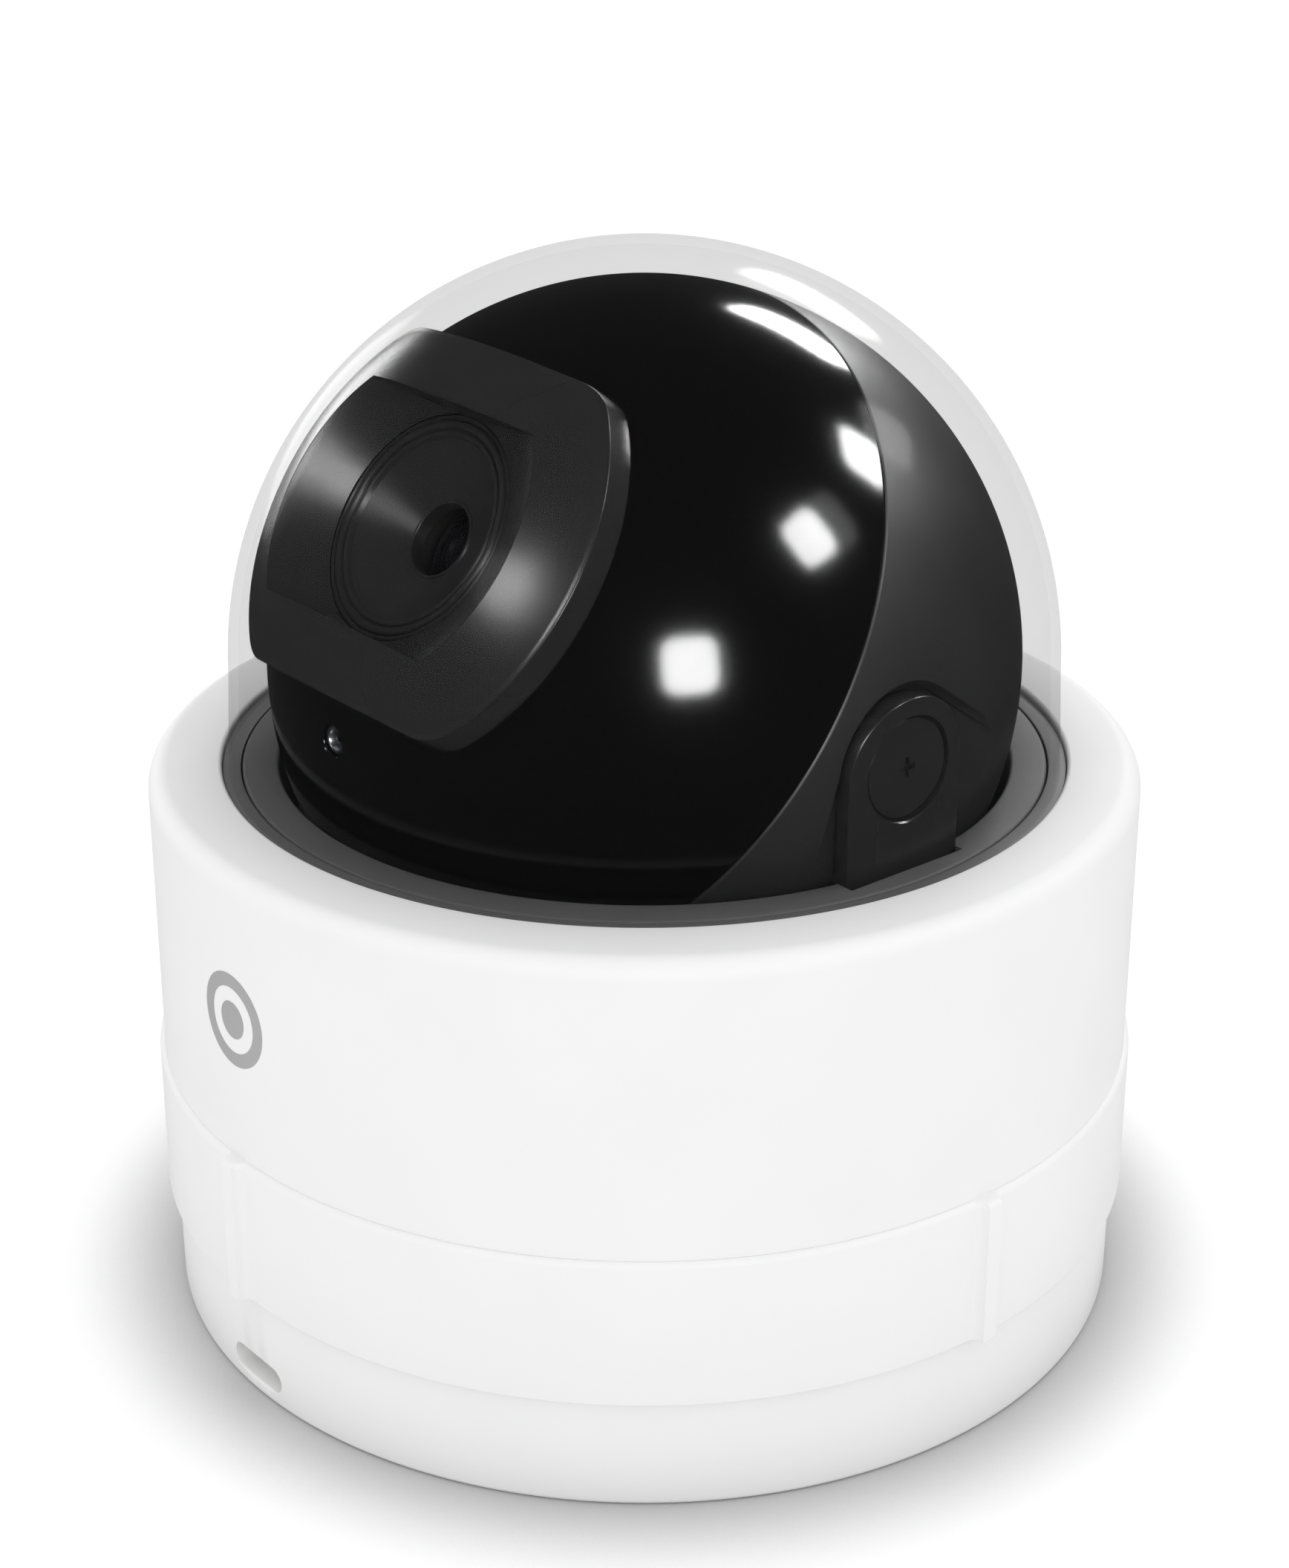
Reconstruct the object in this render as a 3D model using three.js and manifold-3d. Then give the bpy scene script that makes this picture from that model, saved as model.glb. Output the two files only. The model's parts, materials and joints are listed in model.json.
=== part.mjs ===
// Compact pan-and-tilt dome security camera, in millimetres, +Z up, lens side towards -Y.
// The camera stands on its mounting plate. The origin is the centre of the plate's underside.
import * as THREE from 'three';
import { mergeVertices } from 'three/addons/utils/BufferGeometryUtils.js';
import Module from 'manifold-3d';

const wasm = await Module();
wasm.setup();

// ---------------------------------------------------------------- driving dimensions
const GAP = 0.3;                 // clearance between pieces that meet

// eyeball, its yoke and the clear dome around it
const ballRadius = 30.5;
const ballWall = 1.6;
const lensElevation = 35.2;      // degrees above the horizontal at rest
const lowestElevation = 22;      // degrees, the lower end of the tilt travel
const shellSplit = 8.0;          // gloss cap starts this far in front of the ball's centre
const bezelProud = 1.8;          // bezel face above the ball
const bezelRadius = 18.45;
const bezelHalfHeight = 14.3;
const bezelDepth = 9.5;
const windowRadius = 13.6;
const domeClearance = 0.47;      // bezel face to the inside of the dome
const domeWall = 0.8;
const domeDraft = 0.43;          // the dome's foot is this much wider than its equator
const domeFlange = 3.3;
const domeFlangeThick = 1.2;

// lens
const ringRadius = 9.17;
const ringSetBack = 3.58;        // ring face under the ball's surface
const ringDepth = 3.6;
const apertureRadius = 2.93;
const apertureSetBack = 6.11;
const barrelRadius = 6.0;
const barrelLength = 12.5;
const barrelWall = 1.1;
const holderSide = 17;
const holderDepth = 5.5;
const sensorBoardSide = 24;
const boardThick = 1.2;
const sensorSide = 8;
const filterLength = 15;
const filterWidth = 8;
const filterThick = 0.8;
const filterTravel = 6;
const sensorHoleRadius = 1.3;
const sensorHoleDrop = 34.5;     // degrees below the lens axis

// yoke
const armWidth = 11.3;
const armProud = 0.5;            // outer radius of the arms beyond the ball's
const armThick = 2.0;
const pocketRadius = 4.15;
const pocketDepth = 0.8;
const pivotRadius = 1.8;
const pivotReach = 6.2;
const tiltMotorRadius = 8.5;
const tiltMotorLength = 9;

// pan stage
const collarTuck = 0.56;         // collar bore inside the ball's radius
const collarDrop = 0.48;         // collar face below the white rim
const collarThick = 1.5;
const collarSkirt = 7.8;
const bowlClearance = 0.7;
const bowlWall = 1.8;
const shelfThick = 1.7;
const hubRadius = 12;
const spindleRadius = 7;
const cableBore = 3;
const gearTeeth = 55;
const pinionTeeth = 10;
const gearModule = 0.8;
const gearThick = 1.8;
const panMotorRadius = 6.5;
const panMotorLength = 7.6;
const panMotorAngle = 210;       // degrees about +Z from +X

// housing
const shellWall = 2.2;
const rimGap = 0.55;             // dome foot to the rim of the white shell
const rimWidth = 4.3;            // flat of the rim
const rimFillet = 1.65;
const rimThick = 2.0;
const shellDraft = 0.12;
const underBall = 1.15;          // ball's lowest point above the shell's foot
const ballAboveRim = 7.65;       // ball centre above the rim face
const beltProud = 0.5;           // lower housing stands out from the white shell
const beltHeight = 12.4;
const beltFillet = 0.6;
const ribProud = 0.9;
const ribWidth = 1.3;
const ribRoot = 2.3;
const ribCount = 4;
const coverThick = 1.5;
const boardRadius = 32;
const mainBoardThick = 1.6;
const chassisThick = 1.4;

// mounting plate
const plateHeight = 9.3;
const plateInset = 0.2;          // plate radius under the white shell's radius
const plateWall = 2.2;
const plateFloor = 2.0;
const plateOpening = 27;
const screwHoleRadius = 2.25;
const screwCircle = 32.3;
const slotWidth = 6.7;
const slotHeight = 2.2;
const slotBottom = 1.25;
const latchWidth = 6.0;
const latchTravel = 1.6;
const lugDepth = 1.7;
const lugHeight = 1.7;
const lugSpan = 24;              // degrees
const hookSpan = 20;             // degrees
const hookHeight = 2.0;

// modular jack and reset button
const jackWidth = 16;
const jackDepth = 14;
const jackHeight = 15;
const jackCentreY = 20;
const socketWidth = 11.8;
const socketDepth = 8.2;
const socketReach = 13;
const buttonRadius = 1.8;
const buttonFlange = 2.8;
const buttonTravel = 0.8;

// ---------------------------------------------------------------- places worked out from them
const seam = GAP;
const shellHeight = ballRadius - ballAboveRim + underBall;
const armOuter = ballRadius + armProud;
const armInner = armOuter - armThick;
const collarInner = ballRadius - collarTuck;
const ringFace = ballRadius - ringSetBack;
const apertureFace = ballRadius - apertureSetBack;
const bezelFace = ballRadius + bezelProud;
const domeInner = bezelFace + domeClearance;
const domeOuter = domeInner + domeWall;
const domeFoot = domeOuter + domeDraft;
const rimRadius = domeFoot + rimGap;
const shellRadius = rimRadius + rimWidth + rimFillet;
const shellFootRadius = shellRadius + shellDraft;
const beltRadius = shellFootRadius + beltProud;
const plateRadius = shellRadius - plateInset;

const beltBottom = plateHeight + seam;
const beltTop = beltBottom + beltHeight;
const shellBottom = beltTop + seam;
const rimTop = shellBottom + shellHeight;
const ballZ = rimTop + ballAboveRim;
const collarTop = rimTop - collarDrop;
const coverBottom = beltBottom + GAP;
const coverTop = coverBottom + coverThick;
const boardBottom = coverTop + 2.6;
const boardTop = boardBottom + mainBoardThick;
const chassisBottom = boardTop + 1.4;
const chassisTop = chassisBottom + chassisThick;
const bowlInner = ballRadius + bowlClearance;
const bowlOuter = bowlInner + bowlWall;
const gearBottom = ballZ - bowlOuter - 0.4;
const gearTop = gearBottom + gearThick;
const gearPitch = gearTeeth * gearModule / 2;
const pinionPitch = pinionTeeth * gearModule / 2;
const panMotorReach = gearPitch + pinionPitch;
const shelfTop = collarTop - collarSkirt - GAP;
const flangeTop = rimTop - rimThick - 1.4;
const jackBottom = gearBottom - 1.1 - jackHeight;
const recessFloor = armInner - GAP;
const swing = THREE.MathUtils.degToRad;

// ---------------------------------------------------------------- solids
function toSolid(geometry) {
  const bare = new THREE.BufferGeometry();
  bare.setAttribute('position', geometry.getAttribute('position').clone());
  const source = geometry.index ? Array.from(geometry.index.array) : null;
  if (source) bare.setIndex(source);
  const merged = mergeVertices(bare, 1e-4);
  const index = merged.index.array;
  const p = merged.getAttribute('position').array;
  const triangles = [];
  let volume = 0;
  for (let i = 0; i < index.length; i += 3) {
    const [a, b, c] = [index[i], index[i + 1], index[i + 2]];
    if (a === b || b === c || a === c) continue;
    triangles.push(a, b, c);
    const va = new THREE.Vector3().fromArray(p, a * 3);
    const vb = new THREE.Vector3().fromArray(p, b * 3);
    const vc = new THREE.Vector3().fromArray(p, c * 3);
    volume += va.dot(vb.cross(vc));
  }
  if (volume < 0) {
    for (let i = 0; i < triangles.length; i += 3) {
      [triangles[i + 1], triangles[i + 2]] = [triangles[i + 2], triangles[i + 1]];
    }
  }
  const mesh = new wasm.Mesh({
    numProp: 3,
    vertProperties: new Float32Array(p),
    triVerts: new Uint32Array(triangles),
  });
  return new wasm.Manifold(mesh);
}

function toGeometry(solid) {
  const mesh = solid.getMesh();
  const geometry = new THREE.BufferGeometry();
  geometry.setAttribute('position', new THREE.BufferAttribute(mesh.vertProperties.slice(), 3));
  geometry.setIndex(new THREE.BufferAttribute(mesh.triVerts.slice(), 1));
  return geometry;
}

function join(first, ...others) {
  return toGeometry(others.reduce((sum, piece) => sum.add(toSolid(piece)), toSolid(first)));
}

function cut(first, ...tools) {
  return toGeometry(tools.reduce((rest, tool) => rest.subtract(toSolid(tool)), toSolid(first)));
}

function common(first, second) {
  return toGeometry(toSolid(first).intersect(toSolid(second)));
}

// ---------------------------------------------------------------- simple bodies, all along +Z
function turn(points, segments = 36) {
  const loop = points.map(([r, z]) => new THREE.Vector2(r, z));
  const open = points[0][0] > 0 || points[points.length - 1][0] > 0;
  if (open) loop.push(loop[0].clone());
  return new THREE.LatheGeometry(loop, segments).rotateX(Math.PI / 2);
}

function tube(inner, outer, bottom, top, segments = 36) {
  return turn([[inner, bottom], [outer, bottom], [outer, top], [inner, top]], segments);
}

function rod(radius, bottom, top, x = 0, y = 0, segments = 20) {
  const body = new THREE.CylinderGeometry(radius, radius, top - bottom, segments);
  return body.rotateX(Math.PI / 2).translate(x, y, (bottom + top) / 2);
}

function block(width, depth, bottom, top, x = 0, y = 0) {
  return new THREE.BoxGeometry(width, depth, top - bottom).translate(x, y, (bottom + top) / 2);
}

function slab(shape, bottom, top, segments = 12) {
  const options = { depth: top - bottom, bevelEnabled: false, curveSegments: segments };
  return new THREE.ExtrudeGeometry(shape, options).translate(0, 0, bottom);
}

function sector(inner, outer, middle, span, bottom, top) {
  const [from, to] = [swing(middle - span / 2), swing(middle + span / 2)];
  const shape = new THREE.Shape();
  shape.absarc(0, 0, outer, from, to, false);
  shape.absarc(0, 0, inner, to, from, true);
  return slab(shape, bottom, top, 6);
}

function arcPoints(radius, centreZ, fromAngle, toAngle, steps) {
  return Array.from({ length: steps + 1 }, (_, i) => {
    const a = swing(fromAngle + (toAngle - fromAngle) * i / steps);
    return [Math.max(radius * Math.cos(a), 0), centreZ + radius * Math.sin(a)];
  });
}

function fillet(centreR, centreZ, radius, fromAngle, toAngle, steps) {
  return Array.from({ length: steps + 1 }, (_, i) => {
    const a = swing(fromAngle + (toAngle - fromAngle) * i / steps);
    return [centreR + radius * Math.cos(a), centreZ + radius * Math.sin(a)];
  });
}

// A disc with two straight sides, the outline that the bezel shares with its seat.
function truncatedDisc(radius, halfHeight) {
  const a = Math.asin(halfHeight / radius);
  const shape = new THREE.Shape();
  shape.absarc(0, 0, radius, -a, a, false);
  shape.absarc(0, 0, radius, Math.PI - a, Math.PI + a, false);
  return shape;
}

function screw(headRadius, headHeight, shankRadius, shankLength) {
  return turn([
    [0, -shankLength], [shankRadius, -shankLength], [shankRadius, 0],
    [headRadius, 0], [headRadius, headHeight], [headRadius * 0.45, headHeight],
    [headRadius * 0.45, headHeight * 0.5], [0, headHeight * 0.5],
  ], 12);
}

// Straight-flanked teeth with backlash. A tooth or a gap can be centred on +X.
function gearOutline(teeth, phaseTooth) {
  const pitch = teeth * gearModule / 2;
  const [tip, root] = [pitch + gearModule * 0.72, pitch - gearModule * 1.05];
  const step = 2 * Math.PI / teeth;
  const shape = new THREE.Shape();
  for (let i = 0; i < teeth; i++) {
    const middle = (i + (phaseTooth ? 0 : 0.5)) * step;
    const corners = [[root, -0.33], [tip, -0.13], [tip, 0.13], [root, 0.33]];
    for (const [radius, share] of corners) {
      const a = middle + share * step;
      const [x, y] = [radius * Math.cos(a), radius * Math.sin(a)];
      if (i === 0 && share === -0.33) shape.moveTo(x, y);
      else shape.lineTo(x, y);
    }
  }
  shape.closePath();
  return shape;
}

// ---------------------------------------------------------------- materials
function finish(color, roughness, metalness = 0) {
  return new THREE.MeshStandardMaterial({ color, roughness, metalness });
}
const whiteCase = finish(0xf2f2f2, 0.45);
const darkTrim = finish(0x4a4a4a, 0.6);
const glossBlack = finish(0x060606, 0.08);
const matteBlack = finish(0x2a2a2a, 0.55);
const clearPlastic = new THREE.MeshStandardMaterial({
  color: 0xe8ecee, roughness: 0.05, transparent: true, opacity: 0.25,
});
const rubber = finish(0x2b2b2b, 0.9);
const steel = finish(0xb9bcc0, 0.35, 1);
const brass = finish(0xb59a55, 0.35, 1);
const board = finish(0x1f5a3a, 0.6);
const chip = finish(0x18191b, 0.5);
const glass = finish(0x2a3350, 0.05);
const acetal = finish(0xe6e2d6, 0.5);

// ---------------------------------------------------------------- scene graph
const camera = new THREE.Group();
const tilt = new THREE.Group();
tilt.position.set(0, 0, ballZ);
tilt.rotation.x = -swing(lensElevation);
camera.add(tilt);

function place(name, geometry, material, parent = camera) {
  const mesh = new THREE.Mesh(geometry, material);
  mesh.name = name;
  parent.add(mesh);
  return mesh;
}

// Built with +Z as the lens axis, this turns a piece to look along -Y.
function alongLens(geometry) {
  return geometry.rotateX(Math.PI / 2);
}

// Built with +Z pointing outwards, this turns a piece along +X or -X.
function alongAxle(geometry, side) {
  return geometry.rotateY(side * Math.PI / 2);
}

// ---------------------------------------------------------------- mounting plate and latch
function mountingPlate() {
  const lugBottom = plateHeight - 0.7 - lugHeight;
  let plate = turn([
    [plateOpening, 0], [plateRadius - 0.4, 0], [plateRadius, 0.4], [plateRadius, plateHeight],
    [plateRadius - plateWall, plateHeight], [plateRadius - plateWall, plateFloor],
    [plateOpening, plateFloor],
  ], 48);
  for (const middle of [90, 210, 330]) {
    const lug = sector(plateRadius - plateWall - lugDepth, plateRadius - 0.5, middle, lugSpan,
      lugBottom, lugBottom + lugHeight);
    plate = join(plate, lug);
  }
  const holes = [30, 150, 270].map((angle) => {
    const a = swing(angle + 20);
    const [x, y] = [screwCircle * Math.cos(a), screwCircle * Math.sin(a)];
    return rod(screwHoleRadius, -1, plateFloor + 1, x, y, 16);
  });
  const half = slotWidth / 2;
  const round = slotHeight / 2;
  const pill = new THREE.Shape();
  pill.absarc(half - round, 0, round, -Math.PI / 2, Math.PI / 2, false);
  pill.absarc(-half + round, 0, round, Math.PI / 2, Math.PI * 1.5, false);
  const slot = slab(pill, plateRadius - plateWall - 0.5, plateRadius + 1, 5)
    .rotateX(Math.PI / 2).translate(0, 0, slotBottom + round);
  return cut(plate, ...holes, slot);
}

// A flat tongue behind the slot, with a tooth at its inner end that steadies the housing.
function releaseLatch() {
  const outerY = -(plateRadius - plateWall - GAP - 0.3);
  const tongue = block(latchWidth, 4.4, plateFloor + GAP, plateFloor + 2.1, 0, outerY + 2.2);
  const tooth = block(latchWidth * 0.6, 1.2, plateFloor + 1, plateHeight - 1, 0, outerY + 3.8);
  return join(tongue, tooth);
}

// ---------------------------------------------------------------- housing
function bottomCover() {
  const hookTop = plateHeight - 0.7 - lugHeight - GAP;
  const hookOuter = plateRadius - plateWall - GAP;
  const tabOuter = hookOuter - lugDepth;
  const coverRadius = beltRadius - shellWall - GAP;
  let cover = rod(coverRadius, coverBottom, coverTop, 0, 0, 48);
  for (const middle of [90, 210, 330]) {
    const tab = sector(tabOuter - 1.5, tabOuter, middle, hookSpan, hookTop - hookHeight,
      coverBottom + 0.5);
    const hook = sector(tabOuter - 1.5, hookOuter, middle, hookSpan, hookTop - hookHeight, hookTop);
    cover = join(cover, tab, hook);
  }
  for (const [x, y] of boardPosts) {
    cover = join(cover, rod(2.2, coverBottom + 0.5, boardBottom - GAP, x, y, 16));
  }
  const jackHole = block(jackWidth + 2 * GAP, jackDepth + 2 * GAP, 0, boardTop, 0, jackCentreY);
  const buttonHole = rod(buttonRadius + GAP, 0, boardBottom, ...buttonPlace, 16);
  const screwHoles = boardPosts.map(([x, y]) => rod(1.3, coverTop + 0.3, boardBottom, x, y, 12));
  return cut(cover, jackHole, buttonHole, ...screwHoles);
}
const boardPosts = [340, 45, 150].map((angle) => {
  const a = swing(angle);
  return [28 * Math.cos(a), 28 * Math.sin(a)];
});
const buttonPlace = [13, -22];
const motorPlace = [
  panMotorReach * Math.cos(swing(panMotorAngle)),
  panMotorReach * Math.sin(swing(panMotorAngle)),
];

function lowerHousing() {
  const inner = beltRadius - shellWall;
  const ring = turn([
    [inner, beltBottom], [beltRadius, beltBottom],
    ...fillet(beltRadius - beltFillet, beltTop - beltFillet, beltFillet, 0, 90, 3),
    [inner, beltTop],
  ], 48);
  // Each rib has hollow flanks that run out into the wall.
  const rib = new THREE.Shape();
  const root = beltRadius - 0.6;
  const tip = beltRadius + ribProud;
  rib.moveTo(root, -ribRoot / 2 - 0.3);
  rib.quadraticCurveTo(beltRadius + 0.35, -ribRoot / 2 + 0.5, tip, -ribWidth / 2);
  rib.lineTo(tip, ribWidth / 2);
  rib.quadraticCurveTo(beltRadius + 0.35, ribRoot / 2 - 0.5, root, ribRoot / 2 + 0.3);
  rib.closePath();
  const ribs = Array.from({ length: ribCount }, (_, i) =>
    slab(rib, beltBottom, beltTop - beltFillet, 4).rotateZ(i * 2 * Math.PI / ribCount));
  return join(ring, ...ribs);
}

function upperShell() {
  const inner = shellRadius - shellWall;
  return turn([
    [inner, shellBottom], [shellFootRadius, shellBottom],
    ...fillet(shellRadius - rimFillet, rimTop - rimFillet, rimFillet, 0, 90, 5),
    [rimRadius, rimTop], [rimRadius, rimTop - rimThick], [inner, rimTop - rimThick],
  ], 48);
}

function clearDome() {
  const flangeBottom = flangeTop - domeFlangeThick;
  const outside = arcPoints(domeOuter, ballZ, 0, 90, 8);
  const inside = arcPoints(domeInner, ballZ, 90, 0, 8);
  return turn([
    ...inside, [domeFoot - domeWall, rimTop], [domeFoot - domeWall, flangeBottom],
    [domeFoot + domeFlange, flangeBottom], [domeFoot + domeFlange, flangeTop],
    [domeFoot, flangeTop], [domeFoot, rimTop], ...outside,
  ].filter(([r], i, all) => i === 0 || r > 0 || i === all.length - 1), 40);
}

function domeGasket() {
  return tube(rimRadius + 0.5, domeFoot + domeFlange, flangeTop + GAP, rimTop - rimThick - GAP, 48);
}

function domeRetainer() {
  const top = flangeTop - domeFlangeThick - GAP;
  return tube(domeFoot - domeWall + 0.5, shellRadius - shellWall - GAP, top - 1.9, top, 48);
}

function chassis() {
  const radius = beltRadius - shellWall - GAP;
  let plate = rod(radius, chassisBottom, chassisTop, 0, 0, 48);
  plate = join(plate, rod(spindleRadius + 4, chassisTop - 0.5, chassisTop + 1.2, 0, 0, 32));
  for (const angle of [30, 150, 270]) {
    const a = swing(angle);
    const [x, y] = [35.4 * Math.cos(a), 35.4 * Math.sin(a)];
    plate = join(plate, rod(2.2, coverTop + GAP, chassisBottom + 0.5, x, y, 16));
  }
  const spindleHole = rod(spindleRadius + 2.4 + GAP, 0, chassisTop + 3, 0, 0, 32);
  const jackHole = block(jackWidth + 2 * GAP, jackDepth + 2 * GAP, 0, ballZ, 0, jackCentreY);
  const motorHole = rod(panMotorRadius + GAP, 0, ballZ, ...motorPlace, 24);
  const harnessHole = rod(3.2, 0, ballZ, 18, -4, 16);
  return cut(plate, spindleHole, jackHole, motorHole, harnessHole);
}

function panBearing() {
  return tube(spindleRadius + GAP, spindleRadius + 2.4, chassisBottom, chassisTop + 1.2, 32);
}

function mainBoard() {
  const plate = rod(boardRadius, boardBottom, boardTop, 0, 0, 48);
  const jackHole = block(jackWidth + 2 * GAP, jackDepth + 2 * GAP, 0, ballZ, 0, jackCentreY);
  const motorHole = rod(panMotorRadius + GAP, 0, ballZ, ...motorPlace, 24);
  const spindleHole = rod(spindleRadius + 1, 0, ballZ, 0, 0, 24);
  const screwHoles = boardPosts.map(([x, y]) => rod(1.3, 0, ballZ, x, y, 12));
  return cut(plate, jackHole, motorHole, spindleHole, ...screwHoles);
}

function modularJack() {
  const body = block(jackWidth, jackDepth, jackBottom, jackBottom + jackHeight, 0, jackCentreY);
  const socket = block(socketWidth, socketDepth, jackBottom - 1, jackBottom + socketReach, 0,
    jackCentreY);
  const keyway = block(6, 2.4, jackBottom - 1, jackBottom + socketReach - 3, 0,
    jackCentreY - socketDepth / 2 - 1);
  return cut(body, socket, keyway);
}

function resetButton() {
  return join(
    rod(buttonRadius, coverBottom - 0.6, coverTop + 1, ...buttonPlace, 16),
    rod(buttonFlange, coverTop + GAP, coverTop + GAP + 0.8, ...buttonPlace, 16),
  );
}

function panMotor() {
  const top = gearBottom - 1;
  return join(
    rod(panMotorRadius, top - panMotorLength, top, ...motorPlace, 24),
    rod(2.2, top - 0.1, top + 0.4, ...motorPlace, 16),
  );
}

// ---------------------------------------------------------------- pan stage
function panPinion() {
  const gear = slab(gearOutline(pinionTeeth, false), gearBottom, gearTop)
    .rotateZ(swing(panMotorAngle + 180)).translate(...motorPlace, 0);
  return join(gear, rod(1.2, gearBottom - 0.3, gearTop + 0.6, ...motorPlace, 12));
}

function panGear() {
  const wheel = slab(gearOutline(gearTeeth, true), gearBottom, gearTop)
    .rotateZ(swing(panMotorAngle));
  return cut(wheel, rod(hubRadius + GAP, gearBottom - 1, gearTop + 1, 0, 0, 32));
}

// A bowl that the eyeball turns in, on a hollow spindle, with a shelf for the collar and arms.
function turntable() {
  const shelfBottom = shelfTop - shelfThick;
  const angleAt = (radius, z) => THREE.MathUtils.radToDeg(Math.asin((z - ballZ) / radius));
  const boreAngle = -THREE.MathUtils.radToDeg(Math.acos(cableBore / bowlInner));
  const hubAngle = -THREE.MathUtils.radToDeg(Math.acos(hubRadius / bowlOuter));
  return turn([
    ...arcPoints(bowlInner, ballZ, angleAt(bowlInner, shelfTop), boreAngle, 6),
    [cableBore, chassisBottom - 0.6], [spindleRadius, chassisBottom - 0.6],
    [spindleRadius, gearBottom], [hubRadius, gearBottom],
    ...arcPoints(bowlOuter, ballZ, hubAngle, angleAt(bowlOuter, shelfBottom), 4),
    [armOuter + 1.5, shelfBottom], [armOuter + 1.5, shelfTop],
  ], 36);
}

function trimCollar() {
  const outer = domeFoot - domeWall - GAP;
  const ring = turn([
    [collarInner, collarTop - collarSkirt], [armOuter, collarTop - collarSkirt],
    [armOuter, collarTop - collarThick], [outer, collarTop - collarThick], [outer, collarTop],
    [collarInner, collarTop],
  ], 48);
  const notch = block(2 * (armOuter + GAP), armWidth + 2 * GAP, 0, ballZ);
  return cut(ring, notch);
}

function yokeArm(side) {
  const half = armWidth / 2;
  const outline = new THREE.Shape();
  outline.moveTo(-half, shelfTop + GAP - ballZ);
  outline.lineTo(half, shelfTop + GAP - ballZ);
  outline.absarc(0, 0, half, 0, Math.PI, false);
  outline.closePath();
  // The outline's X runs along -Y or +Y and its Y along +Z once it is turned.
  const strap = slab(outline, armInner, armOuter + 1, 12)
    .rotateZ(Math.PI / 2).rotateY(Math.PI / 2).rotateX(0);
  const limit = rod(armOuter, -40, 20, 0, 0, 72);
  const arm = common(strap, limit);
  const pocket = alongAxle(rod(pocketRadius, armOuter - pocketDepth, armOuter + 2, 0, 0, 32), 1);
  const hole = alongAxle(rod(pivotRadius + GAP, 0, armOuter + 2, 0, 0, 16), 1);
  const done = cut(arm, pocket, hole);
  return (side > 0 ? done : done.rotateZ(Math.PI)).translate(0, 0, ballZ);
}

function pivotScrew(side) {
  const headTop = armOuter - 0.15;
  const headBottom = armOuter - pocketDepth + GAP;
  const body = turn([
    [0, headBottom - pivotReach], [pivotRadius, headBottom - pivotReach],
    [pivotRadius, headBottom], [pocketRadius - 0.22, headBottom], [pocketRadius - 0.22, headTop],
    [0.9, headTop], [0.9, headTop - 0.25], [0, headTop - 0.25],
  ], 24);
  return alongAxle(body, side).translate(0, 0, ballZ);
}

// ---------------------------------------------------------------- eyeball
function hollowBall() {
  const outside = arcPoints(ballRadius, 0, -90, 90, 16);
  const inside = arcPoints(ballRadius - ballWall, 0, -90, 90, 10);
  return cut(turn(outside, 36), turn(inside, 24));
}

// Room for an arm on each side, swept through the whole tilt travel.
function armRecess() {
  const reach = armWidth / 2 + GAP;
  const far = ballRadius + 5;
  const low = swing(lowestElevation);
  const along = [Math.sin(low), -Math.cos(low)];
  const front = [-Math.cos(low) * reach, -Math.sin(low) * reach];
  const shape = new THREE.Shape();
  shape.moveTo(far, -far);
  shape.lineTo(far, reach);
  shape.lineTo(0, reach);
  shape.absarc(0, 0, reach, Math.PI / 2, Math.PI + low, false);
  shape.lineTo(front[0] + along[0] * far, front[1] + along[1] * far);
  shape.closePath();
  return slab(shape, recessFloor, far, 8).rotateX(Math.PI / 2).rotateZ(Math.PI / 2);
}

function rearShell() {
  const keep = block(80, 80, -80, shellSplit - GAP / 2);
  let shell = common(alongLens(common(hollowBall(), keep)), block(90, 90, -45, 45));
  for (const side of [1, -1]) {
    const boss = alongAxle(rod(7.5, 24.4, recessFloor + 0.2, 0, 0, 24), side);
    const recess = armRecess();
    const tool = side > 0 ? recess : recess.scale(-1, 1, 1);
    const bushHole = alongAxle(rod(bushRadius + GAP, 10, 40, 0, 0, 24), side);
    shell = cut(join(shell, boss), tool, bushHole);
  }
  const harnessHole = alongLens(rod(3.5, -40, -20, 0, -6, 16));
  return cut(shell, harnessHole);
}
const bushRadius = 3.6;

function pivotBush(side) {
  const body = tube(pivotRadius + GAP, bushRadius, 24.6, recessFloor - GAP, 24);
  return alongAxle(body, side);
}

function frontShell() {
  const keep = block(80, 80, shellSplit + GAP / 2, 80);
  const cap = common(hollowBall(), keep);
  const seat = slab(truncatedDisc(bezelRadius + GAP, bezelHalfHeight + GAP), 0, 60, 16);
  const tip = swing(sensorHoleDrop);
  const hole = rod(sensorHoleRadius, ballRadius - 4, ballRadius + 2, 0, 0, 16).rotateX(tip);
  return alongLens(cut(cap, seat, hole));
}

function lensBezel() {
  const disc = slab(truncatedDisc(bezelRadius, bezelHalfHeight), bezelFace - bezelDepth, 60, 16);
  const face = turn(arcPoints(bezelFace, 0, -90, 90, 20), 40);
  const windowEdge = Math.sqrt(bezelFace ** 2 - windowRadius ** 2);
  const bore = ringRadius + GAP;
  const slope = (windowRadius - bore) / (windowEdge - ringFace);
  const cone = turn([
    [0, 0], [bore, 0], [bore, ringFace], [windowRadius + slope * 8, windowEdge + 8],
    [0, windowEdge + 8],
  ], 48);
  const opening = common(cone, block(60, 2 * bore, -1, 60));
  return alongLens(cut(common(disc, face), opening));
}

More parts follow.
